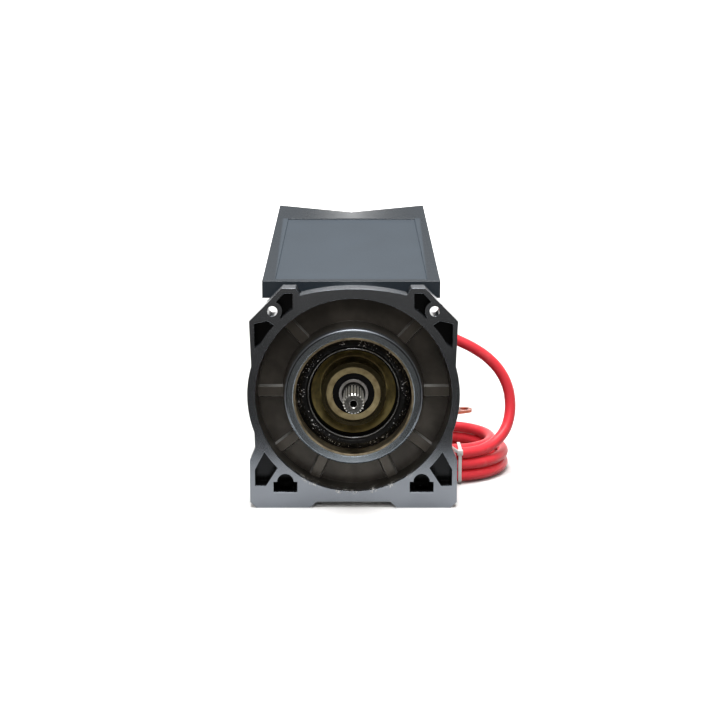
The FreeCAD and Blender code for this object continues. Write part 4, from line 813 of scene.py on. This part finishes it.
class WINCH_OT_coil_tie(StepOperator, bpy.types.Operator):
    """Cable tie round the coil, with its head and cut end"""

    bl_idname = "winch.coil_tie"
    bl_label = "Coil tie"

    def execute(self, context):
        tie = new_piece("coil_tie_loop", self.build, nylon_finish())
        bevel = tie.modifiers.new("edges", "BEVEL")
        bevel.width = 0.25 * MM
        bevel.segments = 2
        bevel.limit_method = "ANGLE"
        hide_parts("coil_tie")
        return {"FINISHED"}

    def build(self, work):
        """Strap round the coil, with a head and the cut end on it."""
        size = sizes()
        half = size.tie_width / 2
        middle = (TIE_LOW + TIE_HIGH) / 2
        loops = []
        for inset in (0.0, size.tie_thick):
            outline = self.rounded_loop(TIE_LOW, TIE_HIGH, inset, size.tie_round)
            for x in (middle.x - half, middle.x + half):
                loops.append([work.verts.new((x, y, z)) for y, z in outline])
        count = len(loops[0])
        for first, second in ((0, 1), (1, 3), (3, 2), (2, 0)):
            for i in range(count):
                k = (i + 1) % count
                work.faces.new((loops[first][i], loops[first][k], loops[second][k], loops[second][i]))
        head = Vector((middle.x, TIE_LOW.y + 1.6 * MM, TIE_HIGH.z - 4 * MM))
        head_lengths = (5.0 * MM, 4.2 * MM, 4.4 * MM)
        self.block(work, head, head_lengths, Matrix.Identity(3))
        cut_end = head + Vector((-5.0 * MM, -0.6 * MM, 2.8 * MM))
        cut_lengths = (9 * MM, size.tie_thick, size.tie_width)
        swing = Matrix.Rotation(math.radians(35), 3, "Y")
        self.block(work, cut_end, cut_lengths, swing)

    def rounded_loop(self, low, high, inset, corner):
        """Y and Z of a rectangle with round corners."""
        radius = corner - inset
        near, far = low.y + corner, high.y - corner
        bottom, top = low.z + corner, high.z - corner
        steps = 6
        points = []
        for y, z, start in ((far, top, 0), (near, top, 90), (near, bottom, 180), (far, bottom, 270)):
            for i in range(steps + 1):
                turn = math.radians(start + 90 * i / steps)
                points.append((y + radius * math.cos(turn), z + radius * math.sin(turn)))
        return points

    def block(self, work, middle, lengths, turn):
        """A box with these sides, turned about its middle."""
        made = bmesh.ops.create_cube(work, size=1.0)
        for vertex in made["verts"]:
            scaled = Vector(c * length for c, length in zip(vertex.co, lengths))
            vertex.co = middle + turn @ scaled


class WINCH_OT_casting(StepOperator, bpy.types.Operator):
    """Paint of the drum support"""

    bl_idname = "winch.casting"
    bl_label = "Drum support"

    def execute(self, context):
        dress(casting_paint(), "drum_support")
        return {"FINISHED"}


class WINCH_OT_drum_seat(StepOperator, bpy.types.Operator):
    """Bush, grease seal with its lip, and the grease on it"""

    bl_idname = "winch.drum_seat"
    bl_label = "Drum seat"

    def execute(self, context):
        tone = colours()
        dress(turned_metal("bush_bronze", tone.bronze, 0.3, (0.03, 0.026, 0.02)), "drum_bush")
        dress(black_rubber("seal_rubber", 0.25), "grease_seal")
        new_piece("grease_bead", self.grease, grease_finish())
        # Painted reflection: the black lip is given grey metal so it shows bright highlights.
        lip_highlight_metal = turned_metal("lip_highlight_metal", (0.26, 0.27, 0.28), 0.05)
        new_piece("seal_lip", self.lip, lip_highlight_metal)
        return {"FINISHED"}

    def seal(self):
        """Depth of the seal's front and its outer radius."""
        low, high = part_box("grease_seal")
        return low.y - FACE_Y, (high.x - low.x) / 2

    def grease(self, work):
        """Ring of grease on the seal, lumpy in front and flat on the seal."""
        front, rim = self.seal()
        inner = rim - 8.2 * MM
        outer = rim - 0.15 * MM
        # The seal's face is flat over this share of the ring, then falls back by the slope.
        flat_share = 0.35
        slope = 2.9 * MM
        lumps_per_metre = 260
        steps = 9
        across = [(i / steps, True) for i in range(steps + 1)]
        profile = [(0.0, False), *across, (1.0, False)]

        def place(turn, spot):
            share, in_front = spot
            radius = inner + (outer - inner) * share
            seat = front + 0.3 * MM + slope * max(0.0, share - flat_share) / (1 - flat_share)
            if not in_front:
                return radius, seat + 0.25 * MM
            where = Vector((radius * math.cos(turn), radius * math.sin(turn), 0.0))
            lump = noise.fractal(where * lumps_per_metre, 0.9, 2.1, 4)
            swell = math.sin(math.pi * (0.03 + 0.94 * share))
            proud = sizes().grease_lump * swell * (0.45 + 0.75 * max(0.0, lump + 0.25))
            return radius, seat - 0.12 * MM - proud

        swept_ring(work, profile, 220, place)

    def lip(self, work):
        """Round lip at the seal's inner edge."""
        size = sizes()
        front, rim = self.seal()
        middle = rim - size.lip_inset
        depth = front + 0.5 * MM
        sides = 10

        def place(_turn, angle):
            return (middle + size.lip_thick * math.cos(angle),
                    depth + size.lip_thick * math.sin(angle))

        swept_ring(work, [math.tau * j / sides for j in range(sides)], 128, place)


class WINCH_OT_drive_end(StepOperator, bpy.types.Operator):
    """End bell, drive bearing and splined shaft"""

    bl_idname = "winch.drive_end"
    bl_label = "Drive end"

    def execute(self, context):
        tone = colours()
        dress(end_bell_finish(), "end_bell")
        # Dark past RACE_RIM is painted shade.
        race = turned_metal("greased_race", tone.race, 0.32, (0.18, 0.135, 0.07), RACE_RIM)
        dress(race, "drive_bearing_outer_race", "rear_bearing_outer_race")
        inner = turned_metal("inner_race", (0.46, 0.45, 0.44), 0.35, (0.2, 0.19, 0.18))
        dress(inner, "drive_bearing_inner_race", "rear_bearing_inner_race")
        dress(turned_metal("bearing_ball", (0.6, 0.6, 0.6), 0.12), "drive_bearing_balls",
              "rear_bearing_balls")
        dress(black_rubber("bearing_shield", 0.5, 0.0), "drive_bearing_shield")
        dress(splined_steel(), "armature_shaft")
        return {"FINISHED"}


class WINCH_OT_motor_outside(StepOperator, bpy.types.Operator):
    """Barrel, rear cap and their fasteners"""

    bl_idname = "winch.motor_outside"
    bl_label = "Motor outside"

    def execute(self, context):
        black = colours().black_paint
        dress(painted_steel("barrel_paint", black, 0.3), "motor_barrel")
        dress(painted_steel("cap_paint", rgba(black, 1.3)[:3], 0.34, 0.12 * MM), "rear_cap")
        dress(plated_steel(), "through_bolts", "bell_bolts", "pole_screws", "cover_screws",
              "saddle_bolts", "terminal_nuts", "brush_springs")
        return {"FINISHED"}


class WINCH_OT_motor_inside(StepOperator, bpy.types.Operator):
    """Field, armature and brush gear"""

    bl_idname = "winch.motor_inside"
    bl_label = "Motor inside"

    def execute(self, context):
        dress(stacked_sheets(), "pole_shoes", "armature_core")
        dress(wound_copper("field_winding", 1.6 * MM), "field_coils")
        dress(wound_copper("armature_winding", 1.2 * MM), "end_windings")
        dress(bare_copper("commutator_copper", colours().copper), "commutator")
        dress(moulded("brush_carbon", (0.03, 0.03, 0.032), 0.5), "brushes")
        dress(moulded("brown_insulation", (0.1, 0.06, 0.035), 0.4), "brush_ring",
              "terminal_insulators")
        return {"FINISHED"}


class WINCH_OT_control_box(StepOperator, bpy.types.Operator):
    """Cover, base, saddle and gland of the control box"""

    bl_idname = "winch.control_box"
    bl_label = "Control box"

    def execute(self, context):
        dress(box_moulding(), "box_cover", "box_base")
        dress(painted_steel("saddle_paint", colours().black_paint, 0.3), "box_saddle")
        dress(black_rubber("gland_rubber", 0.45), "lead_gland")
        return {"FINISHED"}


class WINCH_OT_box_inside(StepOperator, bpy.types.Operator):
    """Contactor, terminals and bus bars"""

    bl_idname = "winch.box_inside"
    bl_label = "Box inside"

    def execute(self, context):
        dress(moulded("contactor_moulding", (0.03, 0.03, 0.03), 0.45), "contactor")
        dress(bare_copper("bar_copper", colours().copper), "bus_bars", "terminal_studs")
        return {"FINISHED"}


STEPS = (WINCH_OT_stage, WINCH_OT_coil_tie, WINCH_OT_battery_lead, WINCH_OT_casting,
         WINCH_OT_drum_seat, WINCH_OT_drive_end, WINCH_OT_motor_outside,
         WINCH_OT_motor_inside, WINCH_OT_control_box, WINCH_OT_box_inside)


class WINCH_PT_steps(bpy.types.Panel):
    """Steps that dress the winch"""

    bl_label = "Winch"
    bl_idname = "WINCH_PT_steps"
    bl_space_type = "VIEW_3D"
    bl_region_type = "UI"
    bl_category = "Winch"

    def draw(self, context):
        for step in STEPS:
            self.layout.operator(step.bl_idname)


CLASSES = (WinchSizes, WinchColours, *STEPS, WINCH_PT_steps)


def register():
    for item in CLASSES:
        bpy.utils.register_class(item)
    bpy.types.Scene.winch_sizes = PointerProperty(type=WinchSizes)
    bpy.types.Scene.winch_colours = PointerProperty(type=WinchColours)


def unregister():
    del bpy.types.Scene.winch_colours
    del bpy.types.Scene.winch_sizes
    for item in reversed(CLASSES):
        bpy.utils.unregister_class(item)


def main():
    """Dress the part."""
    register()
    for step in STEPS:
        getattr(bpy.ops.winch, step.bl_idname.split(".")[1])()


if __name__ == "__main__":
    main()
